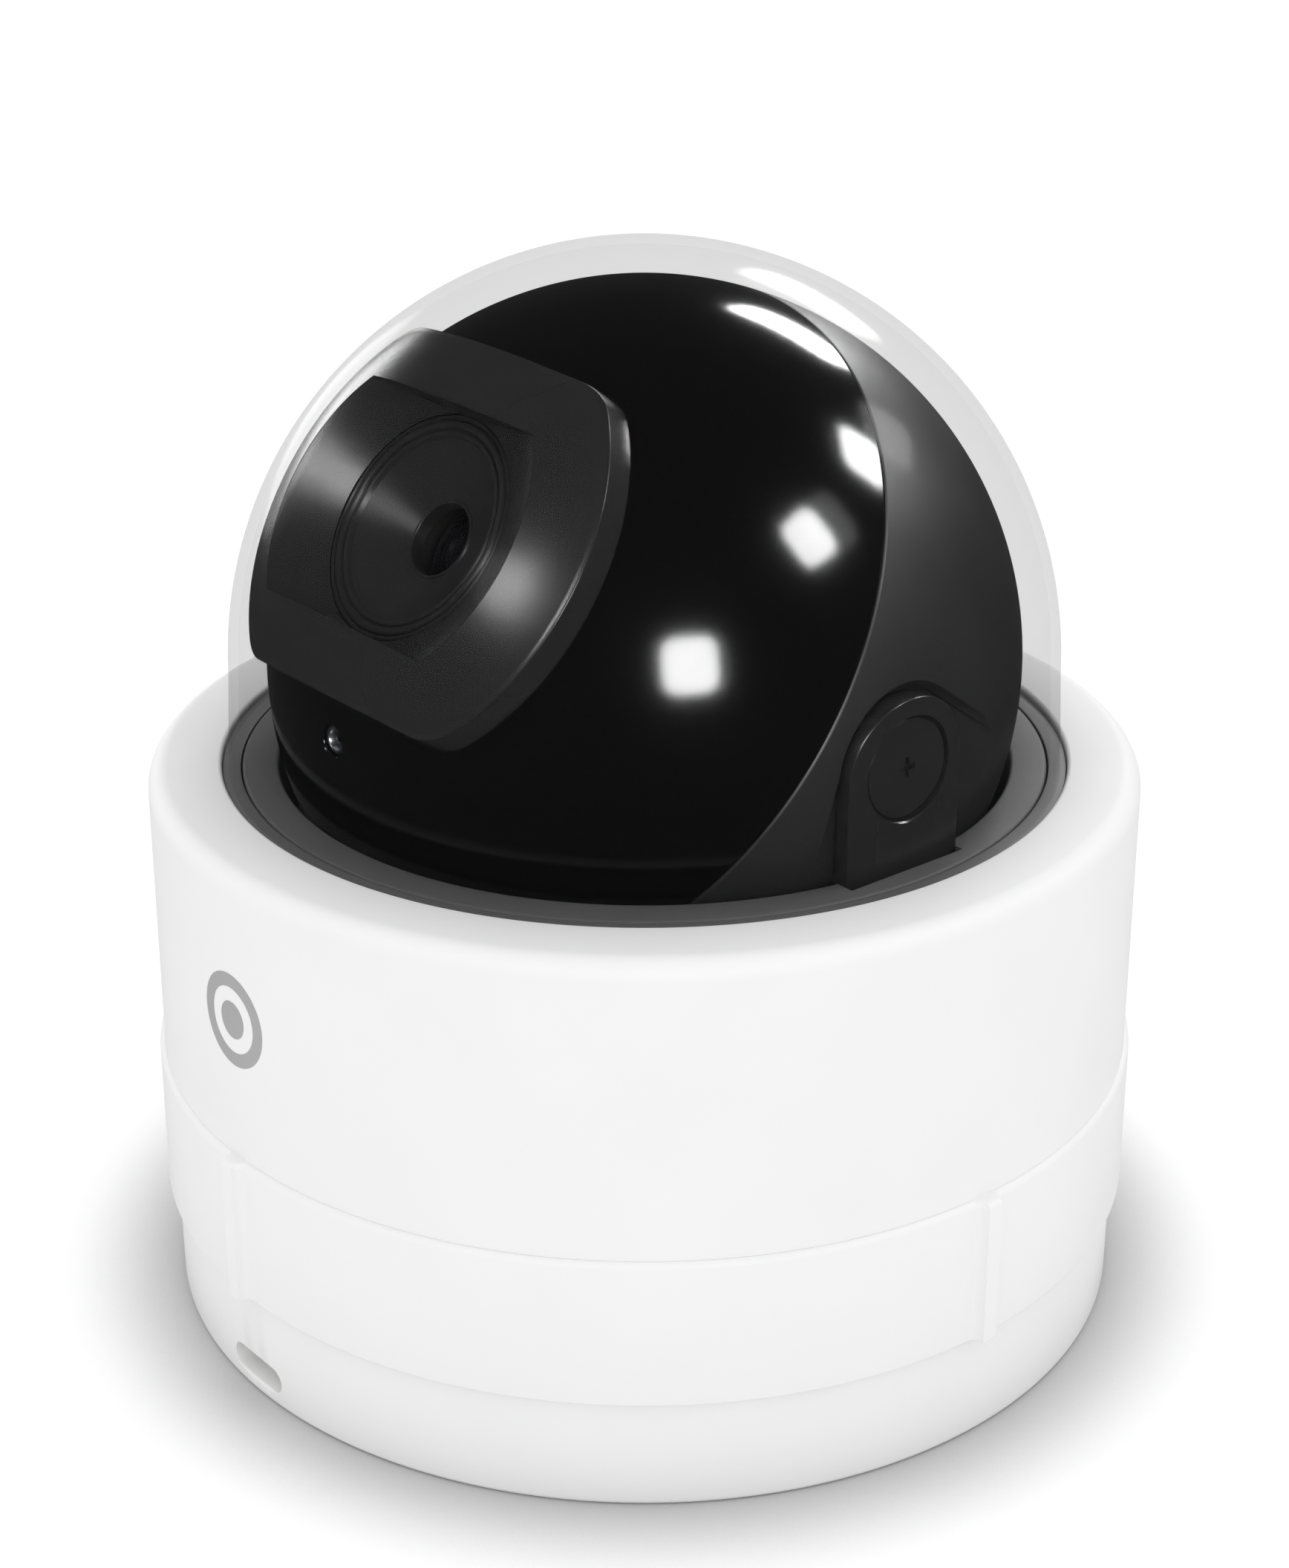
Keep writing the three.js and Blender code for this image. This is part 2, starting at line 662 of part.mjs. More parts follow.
function lensRing() {
  const back = ringFace - ringDepth;
  return alongLens(turn([
    [apertureRadius, back], [ringRadius, back], [ringRadius, ringFace - 0.35],
    [ringRadius - 0.35, ringFace], [ringRadius - 0.8, ringFace - 0.1],
    [ringRadius - 0.95, ringFace - 0.4], [ringRadius - 1.2, ringFace - 0.2],
    [ringRadius - 1.5, ringFace - 0.5], [apertureRadius + 0.25, apertureFace - 0.05],
    [apertureRadius, apertureFace + 0.1],
  ], 32));
}

function lensBarrel() {
  const front = ringFace - ringDepth - GAP;
  return alongLens(tube(barrelRadius - barrelWall, barrelRadius, front - barrelLength, front, 32));
}

function lensElement() {
  const front = ringFace - ringDepth - GAP - 0.6;
  const radius = barrelRadius - barrelWall - GAP;
  const bulge = fillet(0, front - 9, 9, THREE.MathUtils.radToDeg(Math.acos(radius / 9)), 90, 4);
  return alongLens(turn([[0, front - 4.4], [radius, front - 4.4],
    ...bulge.map(([r, z]) => [Math.max(r, 0), z])], 20));
}

const holderTop = ringFace - ringDepth - GAP - barrelLength + 2.5;
function lensHolder() {
  const bottom = holderTop - holderDepth;
  const body = block(holderSide, holderSide, bottom, holderTop);
  const bore = rod(barrelRadius + GAP, bottom + 2.2, holderTop + 1, 0, 0, 32);
  const light = rod(4, bottom - 1, bottom + 4, 0, 0, 24);
  return alongLens(cut(body, bore, light));
}

const filterTop = holderTop - holderDepth - GAP;
function filterSlide() {
  const frame = block(filterLength, filterWidth, filterTop - filterThick, filterTop, 3, 0);
  const pane = block(5.4, 5.4, filterTop - 2, filterTop + 1, -0.4, 0);
  return alongLens(cut(frame, pane));
}

const sensorTop = filterTop - filterThick - GAP;
function imageSensor() {
  return alongLens(block(sensorSide, sensorSide, sensorTop - 1, sensorTop));
}

function sensorBoard() {
  const top = sensorTop - 1 - GAP;
  return alongLens(block(sensorBoardSide, sensorBoardSide, top - boardThick, top));
}

function tiltMotor() {
  return alongAxle(rod(tiltMotorRadius, 24 - tiltMotorLength, 24, 0, 0, 32), 1);
}

function lightSensor() {
  const tip = swing(sensorHoleDrop);
  const body = turn([
    [0, ballRadius - 3.2], [sensorHoleRadius - GAP, ballRadius - 3.2],
    ...fillet(0, ballRadius - 1.7, sensorHoleRadius - GAP, 0, 90, 3).map(([r, z]) =>
      [Math.max(r, 0), z]),
  ], 16);
  return alongLens(body.rotateX(tip));
}

// ---------------------------------------------------------------- assembly
place('mounting_plate', mountingPlate(), whiteCase);
place('release_latch', releaseLatch(), acetal);

place('bottom_cover', bottomCover(), whiteCase);
place('lower_housing', lowerHousing(), whiteCase);
place('upper_shell', upperShell(), whiteCase);
place('clear_dome', clearDome(), clearPlastic);
place('dome_gasket', domeGasket(), rubber);
place('dome_retainer', domeRetainer(), matteBlack);
place('chassis', chassis(), matteBlack);
place('pan_bearing', panBearing(), steel);
place('main_board', mainBoard(), board);
place('processor', block(12, 12, boardBottom - GAP - 1.1, boardBottom - GAP, -14, 8), chip);
place('modular_jack', modularJack(), steel);
place('pan_motor', panMotor(), steel);
boardPosts.forEach(([x, y], i) => {
  place(`board_screw_${i + 1}`, screw(2.1, 1.0, 1.0, 3.6).translate(x, y, boardTop + GAP), steel);
});
place('reset_button', resetButton(), acetal);

place('pan_pinion', panPinion(), brass);
place('pan_gear', panGear(), acetal);
place('turntable', turntable(), matteBlack);
place('trim_collar', trimCollar(), darkTrim);
for (const [word, side] of [['right', 1], ['left', -1]]) {
  place(`yoke_arm_${word}`, yokeArm(side), matteBlack);
  place(`pivot_screw_${word}`, pivotScrew(side), matteBlack);
}

place('rear_shell', rearShell(), matteBlack, tilt);
place('front_shell', frontShell(), glossBlack, tilt);
place('lens_bezel', lensBezel(), matteBlack, tilt);
place('lens_ring', lensRing(), matteBlack, tilt);
place('lens_barrel', lensBarrel(), matteBlack, tilt);
place('lens_element', lensElement(), glass, tilt);
place('lens_holder', lensHolder(), matteBlack, tilt);
place('filter_slide', filterSlide(), matteBlack, tilt);
place('image_sensor', imageSensor(), chip, tilt);
place('sensor_board', sensorBoard(), board, tilt);
place('tilt_motor', tiltMotor(), steel, tilt);
place('light_sensor', lightSensor(), glass, tilt);
place('pivot_bush_right', pivotBush(1), brass, tilt);
place('pivot_bush_left', pivotBush(-1), brass, tilt);

export default camera;
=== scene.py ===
"""Looks of a compact pan-and-tilt dome security camera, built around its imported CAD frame.

Every piece is made in the frame's own place: the origin is the centre of the mounting plate's
underside, Z is the pan axis, the lens looks towards -Y at rest and X is the tilt axis.
Mesh functions work in millimetres and scale to metres as they write vertices.
"""

import json
from math import acos, asin, atan2, cos, degrees, pi, radians, sin, sqrt, tan

import bmesh
import bpy
from bpy.props import FloatProperty, FloatVectorProperty, IntProperty, PointerProperty
from mathutils import Matrix, Vector


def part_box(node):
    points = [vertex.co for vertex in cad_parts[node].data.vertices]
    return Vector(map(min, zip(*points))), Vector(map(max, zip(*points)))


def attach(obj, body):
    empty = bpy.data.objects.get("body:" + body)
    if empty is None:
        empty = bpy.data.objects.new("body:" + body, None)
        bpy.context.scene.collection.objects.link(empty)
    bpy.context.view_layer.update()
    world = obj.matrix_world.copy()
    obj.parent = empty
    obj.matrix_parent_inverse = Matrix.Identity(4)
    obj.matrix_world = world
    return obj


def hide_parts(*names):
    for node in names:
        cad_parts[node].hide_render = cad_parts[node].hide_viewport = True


bl_info = {
    "name": "Dome security camera",
    "version": (1, 0, 0),
    "blender": (4, 5, 0),
    "location": "View3D > Sidebar > Dome camera",
    "description": "Builds the visible pieces of a pan-and-tilt dome camera on its CAD frame",
    "category": "Object",
}

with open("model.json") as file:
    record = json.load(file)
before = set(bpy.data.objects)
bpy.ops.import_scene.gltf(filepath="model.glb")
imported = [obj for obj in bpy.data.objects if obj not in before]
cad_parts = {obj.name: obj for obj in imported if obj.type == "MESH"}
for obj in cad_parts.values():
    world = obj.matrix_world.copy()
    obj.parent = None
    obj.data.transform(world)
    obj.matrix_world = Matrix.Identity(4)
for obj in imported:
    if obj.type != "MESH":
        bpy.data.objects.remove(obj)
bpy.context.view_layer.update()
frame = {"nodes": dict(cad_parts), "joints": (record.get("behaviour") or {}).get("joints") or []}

MM = 0.001


# ---------------------------------------------------------------- places read from the frame
def span(node):
    """Lowest and highest corner of a CAD node in millimetres."""
    low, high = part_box(node)
    return low / MM, high / MM


def radius_of(node):
    """Outer radius about the pan axis of a round CAD node, in millimetres."""
    low, high = span(node)
    return (high.x - low.x) / 2


tilt = next(joint for joint in frame["joints"] if joint["name"] == "tilt")
pivot = Vector(tilt["pos_m"]) / MM
plate_top = span("mounting_plate")[1].z
belt_bottom, belt_top = (corner.z for corner in span("lower_housing"))
shell_bottom, rim_top = (corner.z for corner in span("upper_shell"))
shell_foot_radius = radius_of("upper_shell")
plate_radius = radius_of("mounting_plate")
dome_top = span("clear_dome")[1].z
dome_radius = dome_top - pivot.z
collar_bottom, collar_top = (corner.z for corner in span("trim_collar"))
collar_outer = radius_of("trim_collar")
arm_low, arm_high = span("yoke_arm_right")
arm_inner, arm_outer = arm_low.x, arm_high.x
arm_half_width, arm_bottom = arm_high.y, arm_low.z

BALL_WALL = 1.6
BALL_SEAM = 0.06  # between the eyeball's two shells
SENSOR_DROP = radians(34.5)  # from the lens axis down to the light sensor


# ---------------------------------------------------------------- what a user would change
def length_property(name, description, default):
    """A size in millimetres."""
    return FloatProperty(name=name, description=description, default=default)


def angle_property(name, description, default):
    """An angle, given in degrees."""
    return FloatProperty(name=name, description=description, default=radians(default),
                         subtype="ANGLE", unit="ROTATION")


def count_property(name, description, default, least):
    return IntProperty(name=name, description=description, default=default, min=least)


def linear(colour):
    """The linear light of an sRGB hex colour."""
    channels = [int(colour[i:i + 2], 16) / 255 for i in (1, 3, 5)]
    return [c / 12.92 if c <= 0.04045 else ((c + 0.055) / 1.055) ** 2.4 for c in channels]


def colour_property(name, description, colour):
    return FloatVectorProperty(
        name=name, description=description, default=linear(colour), subtype="COLOR", size=3,
        min=0, max=1)


class CameraSizes(bpy.types.PropertyGroup):
    """Sizes that shape the visible pieces, in millimetres and degrees."""

    lens_elevation: angle_property(
        "Lens elevation", "Angle of the lens axis above the horizontal at rest", 35.2)
    lowest_elevation: angle_property(
        "Lowest elevation", "Lens elevation at the lower end of the tilt travel", 22)
    ball_radius: length_property(
        "Eyeball radius", "Outer radius of the eyeball's two shells", 30.5)
    shell_split: length_property(
        "Shell split", "How far in front of the pivot the gloss cap starts", 8.0)
    bezel_face: length_property(
        "Bezel face", "Radius of the bezel's crowned face about the pivot", 32.3)
    bezel_radius: length_property("Bezel radius", "Radius of the bezel's curved sides", 18.45)
    bezel_half_height: length_property(
        "Bezel half height", "Lens axis to the bezel's straight sides", 14.3)
    window_radius: length_property(
        "Window radius", "Radius of the bezel window's curved sides", 13.6)
    ring_radius: length_property("Ring radius", "Outer radius of the lens ring", 9.17)
    ring_face: length_property("Ring face", "Pivot to the face of the lens ring", 26.92)
    aperture_radius: length_property(
        "Aperture radius", "Radius of the hole at the foot of the lens cone", 2.93)
    aperture_face: length_property("Aperture face", "Pivot to the aperture's lip", 24.39)
    belt_radius: length_property(
        "Belt radius", "Radius of the ribbed lower housing between its ribs", 41.1)
    rib_width: length_property("Rib width", "Width of a rib's face", 1.3)
    rib_count: count_property("Ribs", "Ribs around the lower housing", 4, 0)
    rim_fillet: length_property("Rim fillet", "Rounding of the white shell's upper edge", 1.65)
    mark_size: length_property("Mark size", "Diameter of the printed mark", 7.8)
    smoothness: count_property("Steps around", "Steps around each full turn", 240, 48)


class CameraColours(bpy.types.PropertyGroup):
    """Colours of the finishes that show."""

    case: colour_property("Case", "Moulded white housing", "#ececec")
    trim: colour_property("Trim", "Dark grey collar", "#666666")
    gloss: colour_property("Gloss", "Polished black cap of the eyeball", "#020202")
    satin: colour_property("Satin", "Satin black plastic of the yoke and eyeball", "#292929")
    mark: colour_property("Mark", "Ink of the printed mark", "#adadad")
    floor: colour_property("Floor", "Studio floor", "#ffffff")


# ---------------------------------------------------------------- meshes
def arc(centre_r, centre_z, radius, start, end, steps):
    """Points (radius, height) along an arc, with its angles in degrees."""
    angles = [radians(start + (end - start) * i / steps) for i in range(steps + 1)]
    return [(max(centre_r + radius * cos(a), 0.0), centre_z + radius * sin(a)) for a in angles]


def rounded(corners, steps=5):
    """An outline whose corners (across, up, fillet) are turned into arcs."""
    outline = []
    for i, corner in enumerate(corners):
        point = Vector(corner[:2])
        fillet = corner[2] if len(corner) > 2 else 0
        if not fillet:
            outline.append(tuple(point))
            continue
        one = (Vector(corners[i - 1][:2]) - point).normalized()
        two = (Vector(corners[(i + 1) % len(corners)][:2]) - point).normalized()
        half = one.angle(two) / 2
        centre = point + (one + two).normalized() * fillet / sin(half)
        from_centre = [point + way * fillet / tan(half) - centre for way in (one, two)]
        start, end = (atan2(way.y, way.x) for way in from_centre)
        turn = (end - start + pi) % (2 * pi) - pi
        for k in range(steps + 1):
            a = start + turn * k / steps
            outline.append((centre.x + fillet * cos(a), centre.y + fillet * sin(a)))
    return outline


def add_object(name, mesh, sharp=35):
    """Turns a bmesh into a shown object with smooth faces and sharp corners."""
    bmesh.ops.recalc_face_normals(mesh, faces=mesh.faces)
    data = bpy.data.meshes.new(name)
    mesh.to_mesh(data)
    mesh.free()
    piece = bpy.data.objects.new(name, data)
    bpy.context.scene.collection.objects.link(piece)
    shade(piece, sharp)
    return piece


def shade(piece, sharp=35):
    piece.data.shade_smooth()
    piece.data.set_sharp_from_angle(angle=radians(sharp))


def revolve(name, outline, steps=None, swell=None, angles=None, closed=True, sharp=35):
    """A solid of revolution about Z. swell(angle) pushes points marked with a third value out."""
    steps = steps or bpy.context.scene.camera_sizes.smoothness
    angles = angles or [2 * pi * i / steps for i in range(steps)]
    mesh = bmesh.new()
    rings = []
    for radius, height, *marked in outline:
        if radius < 1e-4:
            rings.append([mesh.verts.new((0, 0, height * MM))] * len(angles))
            continue
        ring = []
        for a in angles:
            r = radius + (swell(a) * marked[0] if swell and marked else 0)
            ring.append(mesh.verts.new((r * cos(a) * MM, r * sin(a) * MM, height * MM)))
        rings.append(ring)
    pairs = zip(rings, rings[1:] + rings[:1]) if closed else zip(rings, rings[1:])
    for lower, upper in pairs:
        for i in range(len(angles)):
            j = (i + 1) % len(angles)
            corners = list(dict.fromkeys((lower[i], lower[j], upper[j], upper[i])))
            if len(corners) > 2:
                mesh.faces.new(corners)
    return add_object(name, mesh, sharp)


def loft(name, rings, sharp=35, caps=True):
    """Joins rings of points in millimetres, each with the same number of points, into a skin."""
    mesh = bmesh.new()
    rows = [[mesh.verts.new(Vector(p) * MM) for p in ring] for ring in rings]
    for lower, upper in zip(rows, rows[1:]):
        for i in range(len(lower)):
            j = (i + 1) % len(lower)
            mesh.faces.new((lower[i], lower[j], upper[j], upper[i]))
    if caps:
        mesh.faces.new(rows[0])
        mesh.faces.new(rows[-1])
    return add_object(name, mesh, sharp)


def prism(name, outline, low, high, edge=0.0):
    """An outline of (x, y) points raised from low to high, with its rims rounded by edge."""
    centre = sum((Vector(p) for p in outline), Vector((0, 0))) / len(outline)

    def ring(inset, height):
        points = []
        for i, p in enumerate(outline):
            along = Vector(outline[(i + 1) % len(outline)]) - Vector(outline[i - 1])
            normal = Vector((along.y, -along.x)).normalized()
            if normal.dot(Vector(p) - centre) < 0:
                normal.negate()
            q = Vector(p) - normal * inset
            points.append((q.x, q.y, height))
        return points

    if not edge:
        return loft(name, [ring(0, low), ring(0, high)])
    turns = [radians(90 * k / 4) for k in range(5)]
    lower = [ring(edge * (1 - sin(t)), low + edge * (1 - cos(t))) for t in turns]
    upper = [ring(edge * (1 - sin(t)), high - edge * (1 - cos(t))) for t in reversed(turns)]
    return loft(name, lower + upper)


def settle(piece, sharp=35):
    """Makes the piece's modifiers part of its mesh."""
    graph = bpy.context.evaluated_depsgraph_get()
    data = bpy.data.meshes.new_from_object(piece.evaluated_get(graph))
    piece.modifiers.clear()
    piece.data = data
    shade(piece, sharp)
    return piece


def carve(piece, *tools, operation="DIFFERENCE"):
    """Cuts each tool out of the piece, or joins it on."""
    for tool in tools:
        cut = piece.modifiers.new("cut", "BOOLEAN")
        cut.operation, cut.solver, cut.object = operation, "EXACT", tool
    settle(piece)
    for tool in tools:
        bpy.data.objects.remove(tool)
    return piece


def soften_edges(piece, width, angle):
    """Rounds the edges sharper than angle by width millimetres."""
    mesh = bmesh.new()
    mesh.from_mesh(piece.data)
    bmesh.ops.remove_doubles(mesh, verts=mesh.verts, dist=0.02 * MM)
    mesh.to_mesh(piece.data)
    mesh.free()
    bevel = piece.modifiers.new("edge", "BEVEL")
    bevel.limit_method, bevel.angle_limit = "ANGLE", radians(angle)
    bevel.width, bevel.segments = width * MM, 2
    bevel.use_clamp_overlap = True
    return settle(piece, 50)


def polish_sphere(piece, radius, slack=0.02):
    """Gives faces that lie on a sphere about the origin the sphere's own normals.

    The reflections of lamps in a glossy piece stay clean that way.
    """
    data = piece.data
    normals = [Vector(corner.vector) for corner in data.corner_normals]
    for face in data.polygons:
        points = [data.vertices[v].co / MM for v in face.vertices]
        if all(abs(p.length - radius) < slack for p in points):
            out = 1 if face.normal.dot(points[0]) > 0 else -1
            for corner, p in zip(face.loop_indices, points):
                normals[corner] = p.normalized() * out
    data.normals_split_custom_set(normals)


def hold_flat(piece, least):
    """Faces of at least this many square millimetres stay flat; the rounding beside them bends."""
    data = piece.data
    flat = {v: face.normal.copy() for face in data.polygons if face.area > least * MM * MM
            for v in face.vertices}
    normals = [Vector(corner.vector) for corner in data.corner_normals]
    for face in data.polygons:
        for corner, v in zip(face.loop_indices, face.vertices):
            if v in flat and flat[v].dot(face.normal) > 0.85:
                normals[corner] = flat[v]
    data.normals_split_custom_set(normals)


def turn_piece(piece, matrix):
    """Moves the mesh itself, with distances in millimetres."""
    scaled = matrix.copy()
    scaled.translation = matrix.translation * MM
    piece.data.transform(scaled)
    return piece


def lens_frame():
    """From a frame at the pivot whose Z is the lens axis and X the tilt axis, to the row frame."""
    elevation = bpy.context.scene.camera_sizes.lens_elevation
    return Matrix.Translation(pivot) @ Matrix.Rotation(pi / 2 - elevation, 4, "X")


def axle_frame(side):
    """From a frame at the pivot whose Z points out along +X or -X, to the row frame."""
    return Matrix.Translation(pivot) @ Matrix.Rotation(side * pi / 2, 4, "Y")


def finish_piece(piece, body, slot, material, *nodes):
    """Gives a piece its material, the body it rides on and the CAD nodes it stands for."""
    piece.data.materials.clear()
    piece.data.materials.append(material)
    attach(piece, body)
    if nodes:
        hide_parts(*nodes)
    return piece


def finish_in_ball(piece, slot, material, *nodes):
    """Finishes a piece that was made along the lens axis, and moves it to its place."""
    turn_piece(piece, lens_frame())
    finish_piece(piece, "eyeball", slot, material, *nodes)


# ---------------------------------------------------------------- materials
def dress(tree, node, settings=None, links=None):
    """Sets a shader node's sockets and links its inputs."""
    for key, value in (settings or {}).items():
        node.inputs[key].default_value = value
    for key, source in (links or {}).items():
        tree.links.new(source, node.inputs[key])
    return node


def add_node(tree, kind, settings=None, links=None, **attributes):
    """Adds one shader node, sets its attributes and sockets, and links its inputs."""
    node = tree.nodes.new(kind)
    for key, value in attributes.items():
        setattr(node, key, value)
    return dress(tree, node, settings, links)


def new_material(name):
    """A new material with its node tree and its surface shader."""
    material = bpy.data.materials.new(name)
    material.use_nodes = True
    return material, material.node_tree, material.node_tree.nodes["Principled BSDF"]


def own_place(tree):
    return add_node(tree, "ShaderNodeTexCoord").outputs["Object"]


def noise(tree, place, size, detail):
    """Noise whose blotches are about size millimetres across."""
    return add_node(tree, "ShaderNodeTexNoise", {"Scale": 1 / (size * MM), "Detail": detail},
                    {"Vector": place}).outputs["Fac"]


def spread(tree, value, low, high):
    """Turns 0 to 1 into low to high."""
    return add_node(tree, "ShaderNodeMapRange", {"To Min": low, "To Max": high},
                    {"Value": value}).outputs["Result"]


def two_tone(tree, share, dark, light, low=0.0, high=1.0):
    """A ramp that runs from one colour to another as share goes from low to high."""
    ramp = add_node(tree, "ShaderNodeValToRGB", None, {"Fac": share})
    for end, place, colour in zip(ramp.color_ramp.elements, (low, high), (dark, light)):
        end.position, end.color = place, (*colour, 1)
    return ramp


def bumps(tree, height, strength, depth):
    """Normals bent by a height, with depth in millimetres."""
    return add_node(tree, "ShaderNodeBump", {"Strength": strength, "Distance": depth * MM},
                    {"Height": height}).outputs["Normal"]


def plastic(name, colour, roughness, grain_mm, grain_depth, ior=1.52, mottle=0.03, coat=0.0,
            roughness_spread=0.06):
    """A moulded plastic: spark-eroded grain in the bump, and a faint unevenness of tone."""
    found = bpy.data.materials.get(name)
    if found:
        return found
    material, tree, surface = new_material(name)
    place = own_place(tree)
    cloud = noise(tree, place, 9, 3.0)
    shaded = [c * (1 - mottle) for c in colour]
    lit = [min(c * (1 + mottle), 1.0) for c in colour]
    dress(tree, surface, {"IOR": ior, "Coat Weight": coat}, {
        "Base Color": two_tone(tree, cloud, shaded, lit, 0.3, 0.7).outputs["Color"],
        "Roughness": spread(tree, cloud, max(roughness - roughness_spread, 0.02),
                            roughness + roughness_spread),
        "Normal": bumps(tree, noise(tree, place, grain_mm, 2.0), 0.6, grain_depth),
    })
    return material


def tone(name):
    """One of the colours a user can change."""
    return getattr(bpy.context.scene.camera_colours, name)


def white_case():
    # Moulded polycarbonate-ABS with a fine spark-eroded grain: a soft, even white sheen.
    return plastic("polycarbonate ABS, moulded white", tone("case"), 0.65, 0.35, 0.004,
                   ior=1.4, mottle=0.006)


def dark_trim():
    # Moulded ABS in dark grey: a satin face that shows a lighter band at a low angle.
    return plastic("ABS, moulded dark grey", tone("trim"), 0.62, 0.3, 0.003, ior=1.42,
                   mottle=0.02)


def satin_black():
    # Glass-filled nylon with a fine texture: charcoal under a broad soft highlight.
    return plastic("nylon, moulded satin black", tone("satin"), 0.42, 0.3, 0.0012, mottle=0.04)


def semi_gloss_black():
    # Polycarbonate moulded against a fine-blasted tool: charcoal that blurs each lamp into a
    # soft patch.
    return plastic("polycarbonate, moulded semi-gloss black", tone("satin"), 0.24, 0.3, 0.0008,
                   ior=1.58, mottle=0.03, roughness_spread=0.03)


def turned_black():
    # Polycarbonate moulded on a lathe-turned core: its ring marks draw a lamp out into rays
    # that run along the cone.
    material = plastic("polycarbonate, moulded on a turned core", linear("#2b2b2b"), 0.36, 0.3,
                       0.0006, ior=1.45, mottle=0.03, roughness_spread=0.03)
    tree = material.node_tree
    tangent = add_node(tree, "ShaderNodeTangent", direction_type="UV_MAP", uv_map="turned")
    dress(tree, tree.nodes["Principled BSDF"],
          {"Anisotropic": 0.8, "Anisotropic Rotation": 0.25},
          {"Tangent": tangent.outputs["Tangent"]})
    return material


def piano_black():
    # Polished acrylic-capped ABS: a black mirror with clean, slightly soft reflections.
    return plastic("acrylic capped ABS, polished black", tone("gloss"), 0.11, 2.5, 0.0008,
                   ior=1.5, mottle=0.05, roughness_spread=0.015)


def printed_ink():
    # Pad-printed ink: a flat mid grey with a touch of sheen and faint ink mottling.
    return plastic("ink, pad printed grey", tone("mark"), 0.45, 0.15, 0.002, mottle=0.02)


def deep_black():
    # Flocked baffle paint inside the lens tube: it swallows nearly all light.
    return plastic("baffle paint, matt black", linear("#0b0b0b"), 0.6, 0.12, 0.003, mottle=0.1)


def acetal():
    # Natural acetal, injection moulded: waxy off-white.
    return plastic("acetal, moulded natural", linear("#e6e2d6"), 0.38, 0.4, 0.003, mottle=0.02)


def seal_rubber():
    # Silicone rubber, compression moulded: dark grey like the collar, a shade paler.
    return plastic("silicone rubber, moulded dark grey", [c * 1.15 for c in tone("trim")], 0.62,
                   0.2, 0.003, ior=1.42, mottle=0.03)


def solder_mask():
    # Glass-epoxy board under green solder mask: glossy green over a woven texture.
    return plastic("glass epoxy board, green solder mask", linear("#1f5a3a"), 0.3, 0.5, 0.006,
                   mottle=0.12, coat=0.3)


def chip_resin():
    # Moulded epoxy chip package: dull charcoal with a fine laser-dulled grain.
    return plastic("epoxy resin, moulded chip package", linear("#17181a"), 0.55, 0.08, 0.002,
                   mottle=0.08)


def metal(name, colour, roughness, scratch_mm, stretch=(1, 1, 12)):
    """A bare metal with fine directional marks from how it was cut or drawn."""
    found = bpy.data.materials.get(name)
    if found:
        return found
    material, tree, surface = new_material(name)
    drawn = add_node(tree, "ShaderNodeMapping", {"Scale": stretch}, {"Vector": own_place(tree)})
    marks = noise(tree, drawn.outputs["Vector"], scratch_mm, 4.0)
    worn = [c * 0.85 for c in colour]
    dress(tree, surface, {"Metallic": 1}, {
        "Base Color": two_tone(tree, marks, worn, colour).outputs["Color"],
        "Roughness": spread(tree, marks, roughness - 0.08, roughness + 0.08),
        "Normal": bumps(tree, marks, 0.4, 0.003),
    })
    return material


def zinc_steel():
    # Zinc-plated sheet steel, pressed: pale grey with short rolling marks.
    return metal("zinc plated steel, pressed", linear("#b9bcc0"), 0.32, 1.2)


def turned_brass():
    # Free-machining brass, turned: yellow metal with fine rings.
    return metal("brass, turned", linear("#c3a45c"), 0.28, 0.8, (1, 1, 1))


def clear_polycarbonate(face, facing_share, edge_share):
    # Clear moulded polycarbonate: see-through, a little greyer at its edges, and bright where a
    # lamp catches it. The share is how much of what lies behind each face hides.
    material, tree, surface = new_material(f"polycarbonate, moulded clear, {face} face")
    facing = add_node(tree, "ShaderNodeLayerWeight", {"Blend": 0.4}).outputs["Facing"]
    share = spread(tree, facing, facing_share, edge_share)
    faint = spread(tree, noise(tree, own_place(tree), 14, 2.0), 0.97, 1.03)
    alpha = add_node(tree, "ShaderNodeMath", None, {0: share, 1: faint}, operation="MULTIPLY")
    dress(tree, surface,
          {"Base Color": (0.02, 0.02, 0.02, 1), "Roughness": 0.12, "IOR": 1.58,
           "Specular IOR Level": 0.12},
          {"Alpha": alpha.outputs[0]})
    return material


def coated_glass():
    # Multi-coated optical glass: nearly black, with a painted sheen: its colour turns a faint cool
    # grey towards the glancing edges of its curve.
    name = "optical glass, coated"
    found = bpy.data.materials.get(name)
    if found:
        return found
    material, tree, surface = new_material(name)
    painted_sheen = add_node(tree, "ShaderNodeLayerWeight", {"Blend": 0.4}).outputs["Facing"]
    # Painted sheen: the colour lightens as the surface turns away from view.
    ramp = two_tone(tree, painted_sheen, linear("#040405"), linear("#17181d"))
    dress(tree, surface, {"Roughness": 0.06, "IOR": 1.5}, {"Base Color": ramp.outputs["Color"]})
    return material


# ---------------------------------------------------------------- operators
class CAMERA_OT_upper_shell(bpy.types.Operator):
    """White shell with a rounded rim around the dome"""

    bl_idname = "camera.upper_shell"
    bl_label = "Upper shell"

    def execute(self, context):
        sizes = context.scene.camera_sizes
        wall, rim_inner, lip = 2.2, collar_outer + 1.65, 2.0
        outer = shell_foot_radius
        shell = revolve("upper_shell_skin", rounded([
            (outer - wall, belt_top), (outer, belt_top),
            (outer - 0.12, rim_top, sizes.rim_fillet), (rim_inner, rim_top, 0.35),
            (rim_inner, rim_top - lip, 0.2), (outer - wall, rim_top - lip, 0.5),
        ], steps=8))
        shell.visible_glossy = False
        finish_piece(shell, "housing", "white_case", white_case(), "upper_shell")
        return {"FINISHED"}


